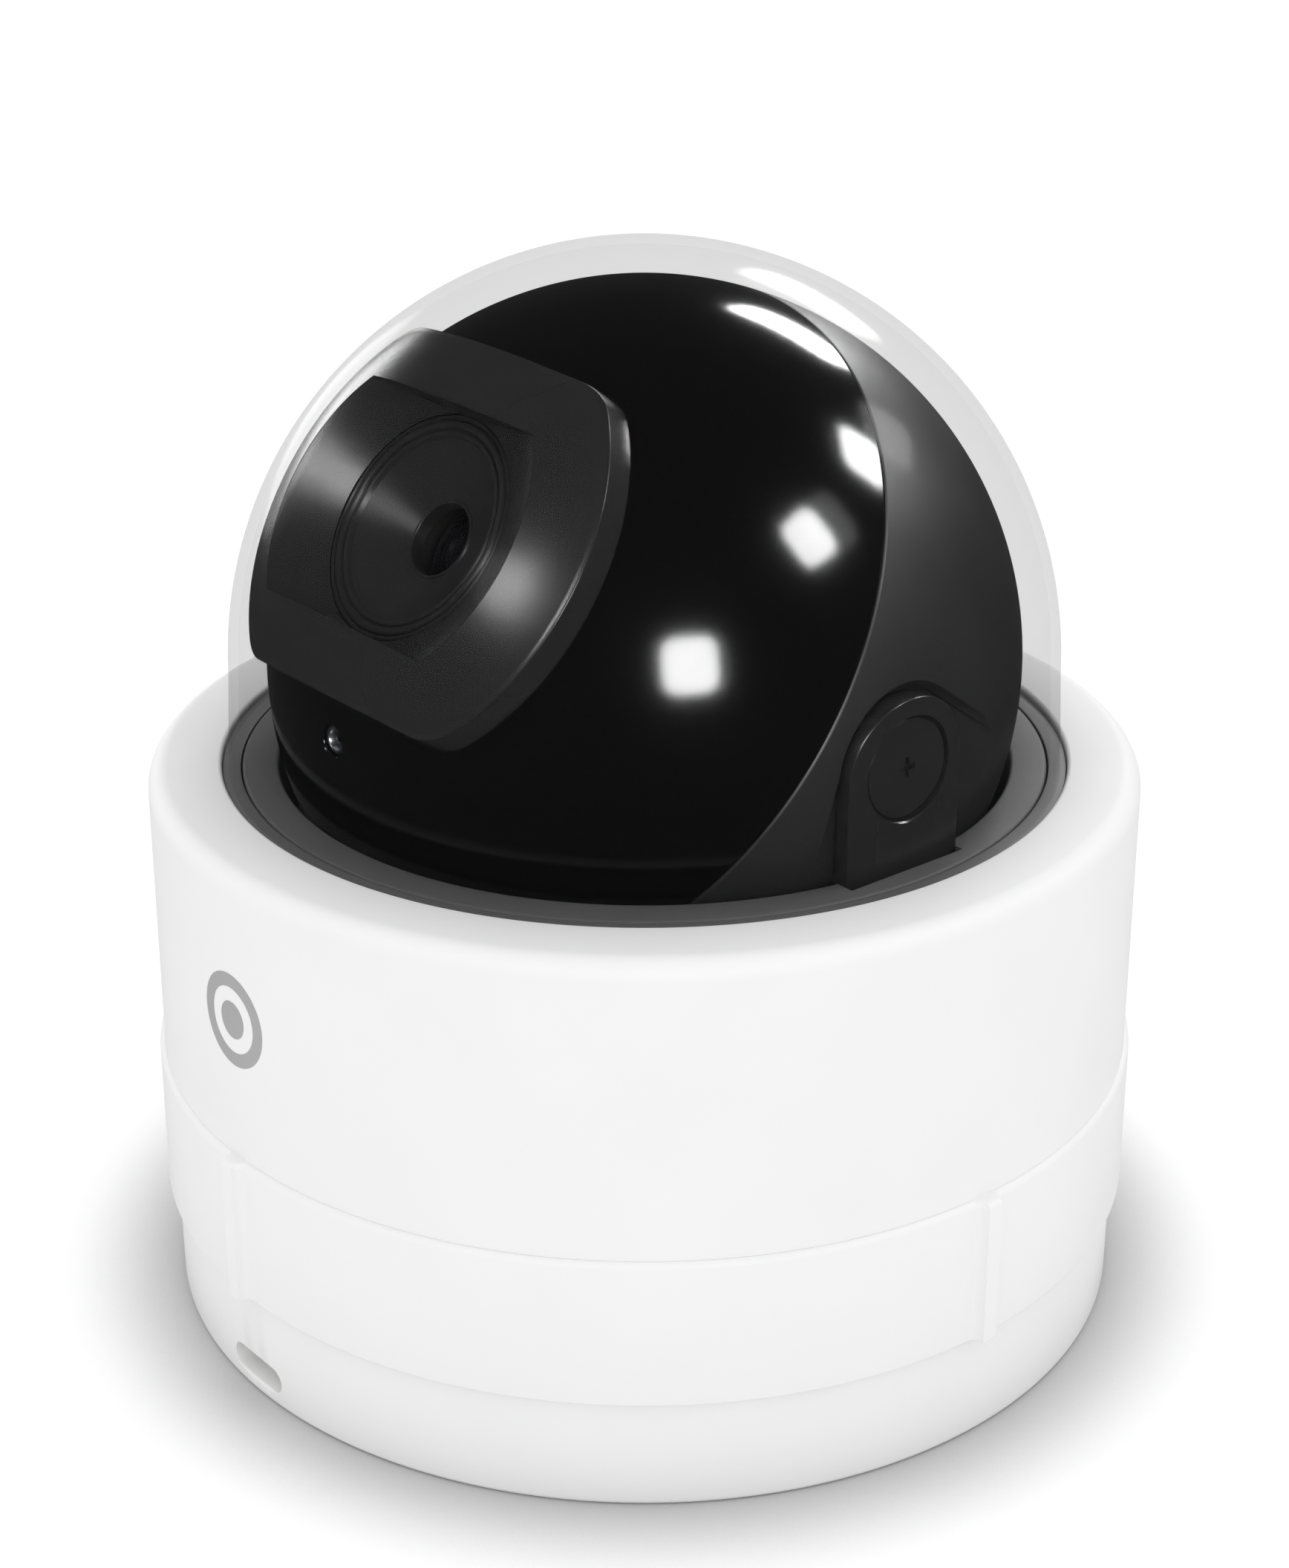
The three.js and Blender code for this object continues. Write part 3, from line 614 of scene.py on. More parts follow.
class CAMERA_OT_lower_housing(bpy.types.Operator):
    """Ribbed belt between the white shell and the mounting plate"""

    bl_idname = "camera.lower_housing"
    bl_label = "Lower housing"

    def execute(self, context):
        sizes = context.scene.camera_sizes
        proud, half, run_out = 0.9, sizes.rib_width / 2, 0.85
        outer = sizes.belt_radius

        def rib(angle):
            """How far the wall stands out, with a quarter-round hollow beside each rib."""
            pitch = 2 * pi / sizes.rib_count
            nearest = (angle + pitch / 2) % pitch - pitch / 2
            away = abs(nearest) * outer - half
            if away <= 0:
                return proud
            if away >= run_out:
                return 0.0
            return proud * (1 - sqrt(1 - (1 - away / run_out) ** 2))

        base = [2 * pi * i / sizes.smoothness for i in range(sizes.smoothness)]
        near = []
        for k in range(sizes.rib_count):
            middle = k * 2 * pi / sizes.rib_count
            offsets = [step * 0.08 for step in range(-22, 23)] + [-half, half]
            near += [(middle + offset / outer) % (2 * pi) for offset in offsets]
        angles = sorted(set(round(a, 6) for a in base + near))
        wall = 2.2
        corners = [
            (outer - wall, belt_bottom, 0.1), (outer, belt_bottom, 0.15),
            (outer - 0.05, belt_top, 0.55), (outer - wall, belt_top, 0.1),
        ]
        outline = [(r, z, 1.0 if r > outer - wall / 2 else 0.0) for r, z in rounded(corners, 5)]
        belt = revolve("lower_housing_skin", outline, swell=rib, angles=angles, sharp=28)
        finish_piece(belt, "housing", "white_case", white_case(), "lower_housing")
        return {"FINISHED"}


class CAMERA_OT_mounting_plate(bpy.types.Operator):
    """Round plate with the release slot, countersunk screw holes, bayonet lugs and the release
    latch
    """

    bl_idname = "camera.mounting_plate"
    bl_label = "Mounting plate"

    def execute(self, context):
        wall, floor, opening = 2.2, 2.0, 27.0
        slot_width, slot_height, slot_bottom = 6.7, 2.15, 1.2
        screw_circle, bore, sink_radius, sink_top = 32.3, 2.35, 4.71, 0.8
        plate = revolve("mounting_plate_skin", rounded([
            (opening, 0, 0.3), (plate_radius, 0, 0.45), (plate_radius, plate_top, 0.15),
            (plate_radius - wall, plate_top, 0.2), (plate_radius - wall, floor, 0.6),
            (opening, floor, 0.5),
        ]))
        tools = [self.slot_cutter(slot_width, slot_height, slot_bottom, wall)]
        for a in map(radians, (50, 170, 290)):
            profile = [(0, -1), (sink_radius, -1), (bore, sink_top), (bore, 3), (0, 3)]
            hole = revolve("hole", profile, steps=48)
            at_screw = (screw_circle * cos(a), screw_circle * sin(a), 0)
            tools.append(turn_piece(hole, Matrix.Translation(at_screw)))
        carve(plate, *tools)
        finish_piece(plate, "mount", "white_case", white_case(), "mounting_plate")
        for k, middle in enumerate((90, 210, 330), 1):
            lug = self.lug(f"bayonet_lug_{k}", middle, plate_top - 2.4, wall)
            finish_piece(lug, "mount", "white_case", white_case())
        self.latch(*span("release_latch"))
        return {"FINISHED"}

    def slot_cutter(self, width, height, bottom, wall):
        half, round_end = width / 2, height / 2
        right = [(half - round_end + round_end * cos(radians(a)), round_end * sin(radians(a)))
                 for a in range(-90, 91, 15)]
        pill = right + [(-x, -y) for x, y in right]

        def ring(grow, reach):
            points = []
            for x, y in pill:
                core = max(-half + round_end, min(half - round_end, x))
                way = Vector((x - core, y)).normalized()
                points.append((x + way.x * grow, -reach, y + way.y * grow + bottom + round_end))
            return points

        # The mouth flares by a quarter round, as a moulded slot's does.
        flare = 0.25
        mouth = [ring(flare * (1 - cos(radians(a))), plate_radius - flare + flare * sin(radians(a)))
                 for a in range(0, 91, 18)]
        rings = [ring(0, plate_radius - wall - 1)] + mouth + [ring(flare, plate_radius + 2)]
        return loft("slot", rings)

    def lug(self, name, middle, bottom, wall):
        outline = []
        for radius, turns in ((plate_radius - 0.6, range(-12, 13, 3)),
                              (plate_radius - wall - 1.7, range(12, -13, -3))):
            for a in (radians(middle + turn) for turn in turns):
                outline.append((radius * cos(a), radius * sin(a)))
        return prism(name, outline, bottom, bottom + 1.7, 0.2)

    def latch(self, low, high):
        half = (high.x - low.x) / 2
        side = rounded([
            (low.y, low.z, 0.3), (high.y, low.z, 0.3), (high.y, high.z, 0.4),
            (high.y - 1.2, high.z, 0.4), (high.y - 1.2, low.z + 1.8, 0.5),
            (low.y, low.z + 1.8, 0.4),
        ])
        latch = prism("release_latch_tongue", side, -half, half)
        upright = Matrix(((0, 0, 1, 0), (1, 0, 0, 0), (0, 1, 0, 0), (0, 0, 0, 1)))
        turn_piece(latch, upright)
        soften_edges(latch, 0.15, angle=60)
        finish_piece(latch, "latch", "acetal", acetal(), "release_latch")


class CAMERA_OT_mark(bpy.types.Operator):
    """Plain printed mark on the front of the white shell: a ring around a dot"""

    bl_idname = "camera.mark"
    bl_label = "Printed mark"

    def execute(self, context):
        sizes = context.scene.camera_sizes
        mesh = bmesh.new()
        steps, height = 96, (shell_bottom + rim_top) / 2 - 0.3
        outer, draft, ink = sizes.mark_size / 2, 0.12, 0.015

        def on_wall(across, up):
            """A point of ink on the shell's drafted wall."""
            z = height + up
            wall = shell_foot_radius - draft * (z - shell_bottom) / (rim_top - shell_bottom)
            turn, reach = across / wall, wall + ink
            return Vector((reach * sin(turn), -reach * cos(turn), z)) * MM

        for inner_edge, outer_edge, rows in ((outer - 1.15, outer, 3), (0.0, outer - 2.35, 4)):
            rings = []
            for row in range(rows + 1):
                r = inner_edge + (outer_edge - inner_edge) * row / rows
                count = steps if r > 1e-4 else 1
                ring = [mesh.verts.new(on_wall(r * cos(a), r * sin(a)))
                        for a in (2 * pi * k / steps for k in range(count))]
                rings.append(ring * steps if count == 1 else ring)
            for low, high in zip(rings, rings[1:]):
                for i in range(steps):
                    j = (i + 1) % steps
                    mesh.faces.new(list(dict.fromkeys((low[i], low[j], high[j], high[i]))))
        mark = add_object("printed_mark", mesh)
        finish_piece(mark, "housing", "dark_trim", printed_ink())
        return {"FINISHED"}


class CAMERA_OT_dome(bpy.types.Operator):
    """Clear dome with its straight foot and hidden flange"""

    bl_idname = "camera.dome"
    bl_label = "Clear dome"

    def execute(self, context):
        wall, draft = 0.8, 0.43
        foot = dome_radius + draft
        flange_low, flange = span("clear_dome")[0].z, radius_of("clear_dome")
        inner = dome_radius - wall
        masked = collar_top - 0.1
        heights = [pivot.z + (masked - pivot.z) * k / 4 for k in range(1, 5)]
        outline = arc(0, pivot.z, inner, 90, 0, 48)
        outline += [(inner + draft * k / 4, z) for k, z in enumerate(heights, 1)]
        outline += [(foot - wall, flange_low)]
        outline += [(flange, flange_low), (flange, flange_low + 1.2), (foot, flange_low + 1.2)]
        outline += [(dome_radius + draft * k / 4, z) for k, z in
                    reversed(list(enumerate(heights, 1)))]
        outline += arc(0, pivot.z, dome_radius, 0, 90, 48)
        dome = revolve("clear_dome_shell", outline, closed=False)
        finish_piece(dome, "housing", "clear_plastic",
                     clear_polycarbonate("outer", 0.145, 0.2), "clear_dome")
        dome.data.materials.append(clear_polycarbonate("inner", 0.015, 0.02))
        dome.data.materials.append(seal_rubber())
        for face in dome.data.polygons:
            # The foot shows the seal's own grey where it sits in it.
            middle = face.center / MM - pivot
            across = Vector((middle.x, middle.y, max(middle.z, 0)))
            if face.center.z < masked * MM:
                face.material_index = 2
            elif across.length < dome_radius - wall / 2:
                face.material_index = 1
        self.seal(foot + 0.05, flange_low + 1.5)
        return {"FINISHED"}

    def seal(self, inner, low):
        """Seal moulded round the foot, with its outer edge clamped under the shell's rim."""
        outer, lip = radius_of("dome_gasket"), collar_outer + 1.6
        top, bore = collar_top - 0.05, collar_outer + 0.12
        seal = revolve("dome_seal", rounded([
            (inner, low, 0.1), (outer, low, 0.1), (outer, low + 0.8, 0.1), (lip, low + 0.8),
            (lip, top, 0.1), (bore, top, 0.1), (bore, top - 0.5), (inner, top - 0.5),
        ]))
        finish_piece(seal, "housing", "rubber", seal_rubber(), "dome_gasket")


class CAMERA_OT_collar(bpy.types.Operator):
    """Dark grey collar around the eyeball, notched for the arms"""

    bl_idname = "camera.collar"
    bl_label = "Trim collar"

    def execute(self, context):
        inner, skirt_outer, thick, slack = 29.94, arm_outer, 1.5, 0.12
        collar = revolve("trim_collar_ring", rounded([
            (inner, collar_bottom, 0.1), (skirt_outer, collar_bottom, 0.1),
            (skirt_outer, collar_top - thick, 0.2), (collar_outer, collar_top - thick, 0.2),
            (collar_outer, collar_top, 0.25), (inner, collar_top, 0.3),
        ]))
        half = arm_half_width + slack
        outline = [(-arm_outer - slack, -half), (arm_outer + slack, -half),
                   (arm_outer + slack, half), (-arm_outer - slack, half)]
        carve(collar, prism("notch", outline, collar_bottom - 5, collar_top + 5))
        collar.visible_glossy = False
        finish_piece(collar, "pan_stage", "dark_trim", dark_trim(), "trim_collar")
        return {"FINISHED"}


class CAMERA_OT_turntable(bpy.types.Operator):
    """Bowl under the eyeball, turning on its hollow spindle"""

    bl_idname = "camera.turntable"
    bl_label = "Turntable"

    def execute(self, context):
        sizes = context.scene.camera_sizes
        low, high = span("turntable")
        inner, wall, bore, spindle, hub = sizes.ball_radius + 0.7, 1.8, 3.0, 7.0, 12.0
        outer = inner + wall
        start = degrees(asin((high.z - pivot.z) / inner))
        outline = arc(0, pivot.z, inner, start, -degrees(acos(bore / inner)), 28)
        outline += [(bore, low.z), (spindle, low.z)]
        hub_bottom = pivot.z - outer - 0.4
        outline += [(spindle, hub_bottom), (hub, hub_bottom)]
        shelf = high.z - 1.7
        end = degrees(asin((shelf - pivot.z) / outer))
        outline += arc(0, pivot.z, outer, -degrees(acos(hub / outer)), end, 20)
        outline += [(high.x, shelf), (high.x, high.z)]
        bowl = revolve("turntable_bowl", outline, steps=144)
        finish_piece(bowl, "pan_stage", "matte_black", satin_black(), "turntable")
        return {"FINISHED"}


def arm_outline(half, bottom, steps=40):
    """A strap with a round head about the pivot, anticlockwise from its lower left corner."""
    head = [(half * cos(pi * k / steps), half * sin(pi * k / steps)) for k in range(steps + 1)]
    return [(-half, bottom), (half, bottom)] + head


class CAMERA_OT_yoke(bpy.types.Operator):
    """Two arms that hold the eyeball, each with a pocket for its pivot screw"""

    bl_idname = "camera.yoke"
    bl_label = "Yoke arms and pivot screws"

    def execute(self, context):
        for word, side in (("right", 1), ("left", -1)):
            self.arm(word, side)
            self.pivot_screw(word, side)
        return {"FINISHED"}

    def arm(self, word, side):
        edge, pocket, pocket_depth, inner = 0.12, 4.15, 0.8, arm_inner + 0.05
        half, foot = arm_half_width, arm_bottom - pivot.z
        outline = arm_outline(half, foot)
        rows = 14

        def bend(y, z, lift=0.0):
            """A point on the arm's outer cylinder less lift."""
            return (sqrt((arm_outer - lift) ** 2 - y * y), y, z)

        def ring(inset, lift):
            """The outline moved in by inset."""
            share = (half - inset) / half
            return [bend(y * share, z * share if z > 0 else z, lift) for y, z in outline]

        def row(share):
            """The face's own edge shrunk towards the head's centre line."""
            points = []
            for y, z in outline:
                y, z = y * (half - edge) / half, z * (half - edge) / half if z > 0 else z
                points.append(bend(y * share, z * share if z > 0 else z))
            return points

        turns = [radians(90 * k / 5) for k in range(6)]
        rim = [ring(edge * (1 - cos(t)), edge * (1 - sin(t))) for t in turns]
        back = [(inner, y, z) for y, z in outline]
        face = [row(1 - k / rows) for k in range(1, rows)]
        arm = loft(f"yoke_arm_{word}_strap", [back] + rim + face)
        drill = revolve("pocket", rounded([
            (0, arm_outer - pocket_depth), (pocket, arm_outer - pocket_depth, 0.15),
            (pocket, arm_outer - 0.14), (pocket + 0.1, arm_outer),
            (pocket + 0.1, arm_outer + 3), (0, arm_outer + 3),
        ]), steps=96)
        turn_piece(drill, Matrix.Rotation(pi / 2, 4, "Y"))
        carve(arm, drill)
        turn_piece(arm, Matrix.Translation(pivot) @ Matrix.Rotation(0 if side > 0 else pi, 4, "Z"))
        finish_piece(arm, "pan_stage", "matte_black", semi_gloss_black(), f"yoke_arm_{word}")

    def pivot_screw(self, word, side):
        radius, top, under = 3.93, arm_outer - 0.42, arm_outer - 0.7
        shank, tip = 1.8, top - 6.5
        head = revolve(f"pivot_screw_{word}_head", rounded([
            (0, tip), (shank, tip, 0.2), (shank, under),
            (radius, under, 0.05), (radius, top, 0.12), (0, top),
        ]), steps=96)
        carve(head, self.cross(top))
        hold_flat(head, 0.4)
        turn_piece(head, axle_frame(side))
        finish_piece(head, "pan_stage", "matte_black", semi_gloss_black(), f"pivot_screw_{word}")

    def cross(self, top):
        arm, reach, depth = 0.26, 1.05, 0.45
        corners = [(arm, arm), (arm, reach), (-arm, reach), (-arm, arm), (-reach, arm),
                   (-reach, -arm), (-arm, -arm), (-arm, -reach), (arm, -reach), (arm, -arm),
                   (reach, -arm), (reach, arm)]
        return loft("drive", [[(x * 0.6, y * 0.6, top - depth) for x, y in corners],
                              [(x, y, top + 0.5) for x, y in corners]])


class CAMERA_OT_eyeball_shells(bpy.types.Operator):
    """Polished front cap and satin rear shell of the eyeball"""

    bl_idname = "camera.eyeball_shells"
    bl_label = "Eyeball shells"

    def execute(self, context):
        sizes = context.scene.camera_sizes
        self.front(sizes)
        self.rear(sizes)
        return {"FINISHED"}

    def front(self, sizes):
        radius, opening, edge = sizes.ball_radius, 13.9, 0.35
        split = sizes.shell_split + BALL_SEAM / 2
        inner = radius - BALL_WALL
        start, end = degrees(asin(split / radius)), degrees(acos(opening / radius))
        outline = [(sqrt(inner ** 2 - split ** 2), split),
                   (sqrt(radius ** 2 - split ** 2) - 0.12, split)]
        outline += arc(0, 0, radius, start + edge, end, 90)
        outline += arc(0, 0, inner, degrees(acos(opening / inner)), start + 1, 40)
        cap = revolve("front_shell_cap", outline, steps=256)
        hole, flare = 1.25, 0.22
        mouth = [(hole + flare * (1 - cos(radians(a))), radius - flare + flare * sin(radians(a)))
                 for a in range(0, 91, 15)]
        drill = revolve("sensor_hole", [(0, radius - 4), (hole, radius - 4)] + mouth
                        + [(hole + flare, radius + 2), (0, radius + 2)], steps=48)
        turn_piece(drill, Matrix.Rotation(SENSOR_DROP, 4, "X"))
        carve(cap, drill)
        polish_sphere(cap, radius)
        finish_in_ball(cap, "gloss_black", piano_black(), "front_shell")

    def rear(self, sizes):
        radius = sizes.ball_radius
        split = sizes.shell_split - BALL_SEAM / 2
        inner = radius - BALL_WALL
        start = degrees(asin(split / radius))
        outline = [(sqrt(radius ** 2 - split ** 2) - 0.1, split),
                   (sqrt(inner ** 2 - split ** 2), split)]
        outline += arc(0, 0, inner, start - 1, -90, 60)
        outline += arc(0, 0, radius, -90, start - 0.3, 120)
        shell = revolve("rear_shell_cup", outline, steps=256)
        floor, boss_foot, bore_radius = arm_inner - 0.05, 24.4, 2.2
        for side in (1, -1):
            outwards = Matrix.Rotation(side * pi / 2, 4, "Y")
            boss = revolve("boss", [(0, boss_foot), (6.8, boss_foot), (7.2, floor), (0, floor)],
                           steps=96)
            carve(shell, turn_piece(boss, outwards), operation="UNION")
            carve(shell, self.recess(sizes, side, floor))
            bore = revolve("bore", [(0, 20), (bore_radius, 20), (bore_radius, 40), (0, 40)],
                           steps=64)
            carve(shell, turn_piece(bore, outwards))
        polish_sphere(shell, radius)
        finish_in_ball(shell, "matte_black", satin_black(), "rear_shell")

    def recess(self, sizes, side, floor):
        """Room for an arm through the whole tilt travel, in a frame whose Z is the lens axis.

        The wall leans out along the top, and every wall meets the floor and the ball in a
        small rounding.
        """
        reach, far, low = arm_half_width + 0.3, sizes.ball_radius + 6, sizes.lowest_elevation
        root, roll, lean = 0.25, 0.3, 0.45
        turn = pi / 2 + low
        # Each point: how far back, how far up, the way out of the recess, and its lean.
        path = [(back, reach, Vector((0, 1)), lean) for back in
                [far] + [k / 2 for k in range(24, 0, -1)]]
        for k in range(33):
            t = turn * k / 32
            out = Vector((-sin(t), cos(t)))
            path.append((out.x * reach, out.y * reach, out, lean * max(cos(t), 0) ** 2))
        end = Vector(path[-1][:2])
        along, out = Vector((sin(low), -cos(low))), path[-1][2]
        for step in [k / 2 for k in range(1, 21)] + [far * 2]:
            path.append((*(end + along * step), out, 0.0))
        path.append((far, -far, Vector((1, -1)), 0.0))

        def ring(depth_share, grow_root, lean_share, grow_roll, lift=0.0):
            points = []
            for back, up, out, slant in path:
                spot = Vector((back, up)) + out * (grow_root + slant * lean_share + grow_roll)
                ball = sqrt(max(sizes.ball_radius ** 2 - spot.length_squared, 0))
                base = floor - 0.05 * min(max(back, 0), 12)
                deep = max(ball - base, 0.3)
                points.append((side * (base + deep * depth_share + lift), spot.y, -spot.x))
            return points

        rings = []
        for k in range(5):
            a = radians(90 * k / 4)
            rings.append(ring(0.3 * (1 - cos(a)), root * (sin(a) - 1), 0, 0))
        for k in range(1, 6):
            a = radians(90 * k / 5)
            rings.append(ring(0.55 + 0.45 * sin(a), 0, 1, roll * (1 - cos(a))))
        rings.append(ring(1, 0, 1, roll, 6))
        return loft("recess", rings)


class CAMERA_OT_bezel(bpy.types.Operator):
    """Crowned lens bezel with its flat-sided window and cone floor"""

    bl_idname = "camera.bezel"
    bl_label = "Lens bezel"

    def outline(self, sizes):
        """Points and outward normals of the truncated disc with rounded corners."""
        radius, half, fillet = sizes.bezel_radius, sizes.bezel_half_height, 4.4
        # Each corner arc touches the straight side and the curved side from inside.
        centre_y = half - fillet
        centre_x = sqrt((radius - fillet) ** 2 - centre_y ** 2)
        touch = atan2(centre_y, centre_x)
        window_corner = asin(sizes.ring_radius / sizes.window_radius)
        quarter = []
        curve = sorted(set([touch * k / 40 for k in range(41)] + [min(window_corner, touch)]))
        for a in curve:
            quarter.append((Vector((radius * cos(a), radius * sin(a))), Vector((cos(a), sin(a)))))
        for k in range(1, 15):
            a = touch + (pi / 2 - touch) * k / 14
            way = Vector((cos(a), sin(a)))
            quarter.append((Vector((centre_x, centre_y)) + way * fillet, way))
        for k in range(1, 25):
            quarter.append((Vector((centre_x * (1 - k / 24), half)), Vector((0, 1))))
        def flip(points, across, up):
            return [(Vector((p.x * across, p.y * up)), Vector((n.x * across, n.y * up)))
                    for p, n in points]

        return (quarter + flip(reversed(quarter[:-1]), -1, 1) + flip(quarter[1:], -1, -1)
                + flip(reversed(quarter[1:-1]), 1, -1))

    def execute(self, context):
        sizes = context.scene.camera_sizes
        face, seat = sizes.bezel_face, sizes.ball_radius
        edge, lip = 0.1, 0.08
        ring_outer, ring_face = sizes.ring_radius + 0.03, sizes.ring_face
        window, flat = sizes.window_radius, sizes.ring_radius
        slope = (sqrt(face ** 2 - window ** 2) - ring_face) / (window - ring_outer)
        floor_depth, floor_radius = 4.5, 13.7
        outline, rings = self.outline(sizes), []

        def add_ring(place):
            rings.append([place(p, n) for p, n in outline])

        def on_sphere(p, radius):
            return (p.x, p.y, sqrt(radius ** 2 - p.x ** 2 - p.y ** 2))

        def window_at(p, inset=0.0):
            way = p.normalized()
            limit = flat / max(abs(way.y), 1e-6)
            return way * (min(window, limit) - inset)

        def radial(p, r, z):
            way = p.normalized()
            return (way.x * r, way.y * r, z)

        def cone(r):
            return ring_face + slope * (r - ring_outer)

        def on_cone(p, share):
            start = window_at(p, lip).length
            r = max(start + (ring_outer - start) * share, ring_outer)
            return radial(p, r, cone(r))

        add_ring(lambda p, n: (0.9 * p.x, 0.9 * p.y, sqrt(seat ** 2 - p.length_squared) - 1.0))
        add_ring(lambda p, n: on_sphere(p, seat - 0.02))
        for t in (radians(90 * k / 6) for k in range(7)):
            add_ring(lambda p, n: (*(p - n * edge * (1 - cos(t))),
                                   on_sphere(p - n * edge, face)[2] - edge * 0.9 * (1 - sin(t))))
        for k in range(1, 17):
            add_ring(lambda p, n: on_sphere((p - n * edge).lerp(window_at(p), k / 16), face))
        add_ring(lambda p, n: (*window_at(p, lip),
                               sqrt(face ** 2 - window_at(p).length_squared) - lip))
        # Straight walls drop to the cone's floor above and below the ring.
        add_ring(lambda p, n: (*window_at(p, lip), cone(window_at(p, lip).length)))
        for k in range(1, 9):
            add_ring(lambda p, n: on_cone(p, k / 8))
        for r in (ring_outer, floor_radius):
            add_ring(lambda p, n: radial(p, r, ring_face - floor_depth))
        rings.append(rings[0])
        bezel = loft("lens_bezel_frame", rings, sharp=30, caps=False)
        finish_in_ball(bezel, "matte_black", semi_gloss_black(), "lens_bezel")
        return {"FINISHED"}


class CAMERA_OT_lens(bpy.types.Operator):
    """Double lens ring, cone, aperture, tube and curved glass"""

    bl_idname = "camera.lens"
    bl_label = "Lens"

    def execute(self, context):
        sizes = context.scene.camera_sizes
        radius, face = sizes.ring_radius, sizes.ring_face
        hole, lip = sizes.aperture_radius, sizes.aperture_face
        back = face - 3.6
        ring = revolve("lens_ring_cone", rounded([
            (hole, back), (radius, back), (radius, face, 0.22), (radius - 0.3, face, 0.1),
            (radius - 0.36, face - 0.2, 0.05), (radius - 0.46, face - 0.2, 0.05),
            (radius - 0.52, face + 0.03, 0.26), (radius - 1.05, face + 0.03, 0.26),
            (radius - 1.12, face - 0.3, 0.08), (radius - 1.24, face - 0.3, 0.08),
            (radius - 1.3, face - 0.1, 0.16), (radius - 1.62, face - 0.14, 0.16),
            (radius - 1.8, face - 0.5, 0.1), (hole + 0.3, lip - 0.1, 0.06),
            (hole + 0.22, lip + 0.06, 0.08), (hole, lip + 0.02, 0.08),
        ], 5), steps=192, sharp=25)
        self.wrap(ring)
        finish_in_ball(ring, "matte_black", turned_black(), "lens_ring")
        front, bore, outer, length = back - 0.3, 4.9, 6, 12.5
        tube = revolve("lens_barrel_tube", rounded([
            (bore, front - length), (outer, front - length), (outer, front, 0.2),
            (bore, front, 0.2),
        ]), steps=96)
        finish_in_ball(tube, "matte_black", deep_black(), "lens_barrel")
        bulge, edge, thick = 6.2, 4.55, 4.4
        top = front - 0.4
        crown = [(edge * k / 14, top - bulge + sqrt(bulge ** 2 - (edge * k / 14) ** 2))
                 for k in range(14, -1, -1)]
        glass = revolve("lens_element_glass", [(0, top - thick), (edge, top - thick)] + crown,
                        steps=96)
        finish_in_ball(glass, "glass", coated_glass(), "lens_element")
        return {"FINISHED"}

    def wrap(self, ring):
        """A UV map that runs round the axis, so that tangents follow the turning marks."""
        data = ring.data
        layer = data.uv_layers.new(name="turned")
        for face in data.polygons:
            turns = [atan2(*data.vertices[v].co.yx) / (2 * pi) for v in face.vertices]
            for corner, v, turn in zip(face.loop_indices, face.vertices, turns):
                near = turn + round(turns[0] - turn)
                layer.data[corner].uv = (near, data.vertices[v].co.xy.length / (10 * MM))


class CAMERA_OT_light_sensor(bpy.types.Operator):
    """Small clear bulb in its hole under the lens"""

    bl_idname = "camera.light_sensor"
    bl_label = "Light sensor"

    def execute(self, context):
        sizes = context.scene.camera_sizes
        radius, top, rim = 0.72, sizes.ball_radius - 0.6, sizes.ball_radius - 0.3
        length, gap, can_radius = 2.4, 0.03, 1.12
        down = Matrix.Rotation(SENSOR_DROP, 4, "X")
        bulb = revolve("light_sensor_bulb", [(0, top - length), (radius, top - length)]
                       + arc(0, top - radius, radius, 0, 90, 12), steps=48)
        finish_in_ball(turn_piece(bulb, down), "glass", coated_glass(), "light_sensor")
        can = revolve("light_sensor_can", rounded([
            (radius + gap, top - length), (can_radius, top - length), (can_radius, rim, 0.12),
            (radius + 0.16, rim, 0.12), (radius + gap, rim - 0.3),
        ], 4), steps=48)
        finish_in_ball(turn_piece(can, down), "steel", zinc_steel())
        return {"FINISHED"}


class CAMERA_OT_inner_parts(bpy.types.Operator):
    """Finishes for the CAD parts that stay as they are inside the camera"""

    bl_idname = "camera.inner_parts"
    bl_label = "Inner parts"

    def execute(self, context):
        finishes = {
            white_case: ("bottom_cover",),
            satin_black: ("dome_retainer", "chassis", "lens_holder", "filter_slide"),
            zinc_steel: ("pan_bearing", "pan_motor", "board_screw_1", "board_screw_2",
                         "board_screw_3", "tilt_motor", "modular_jack"),
            turned_brass: ("pan_pinion", "pivot_bush_right", "pivot_bush_left"),
            solder_mask: ("main_board", "sensor_board"),
            chip_resin: ("processor", "image_sensor"),
            acetal: ("reset_button", "pan_gear"),
        }
        for finish, names in finishes.items():
            for name in names:
                node = frame["nodes"][name]
                node.data.materials.clear()
                node.data.materials.append(finish())
        return {"FINISHED"}


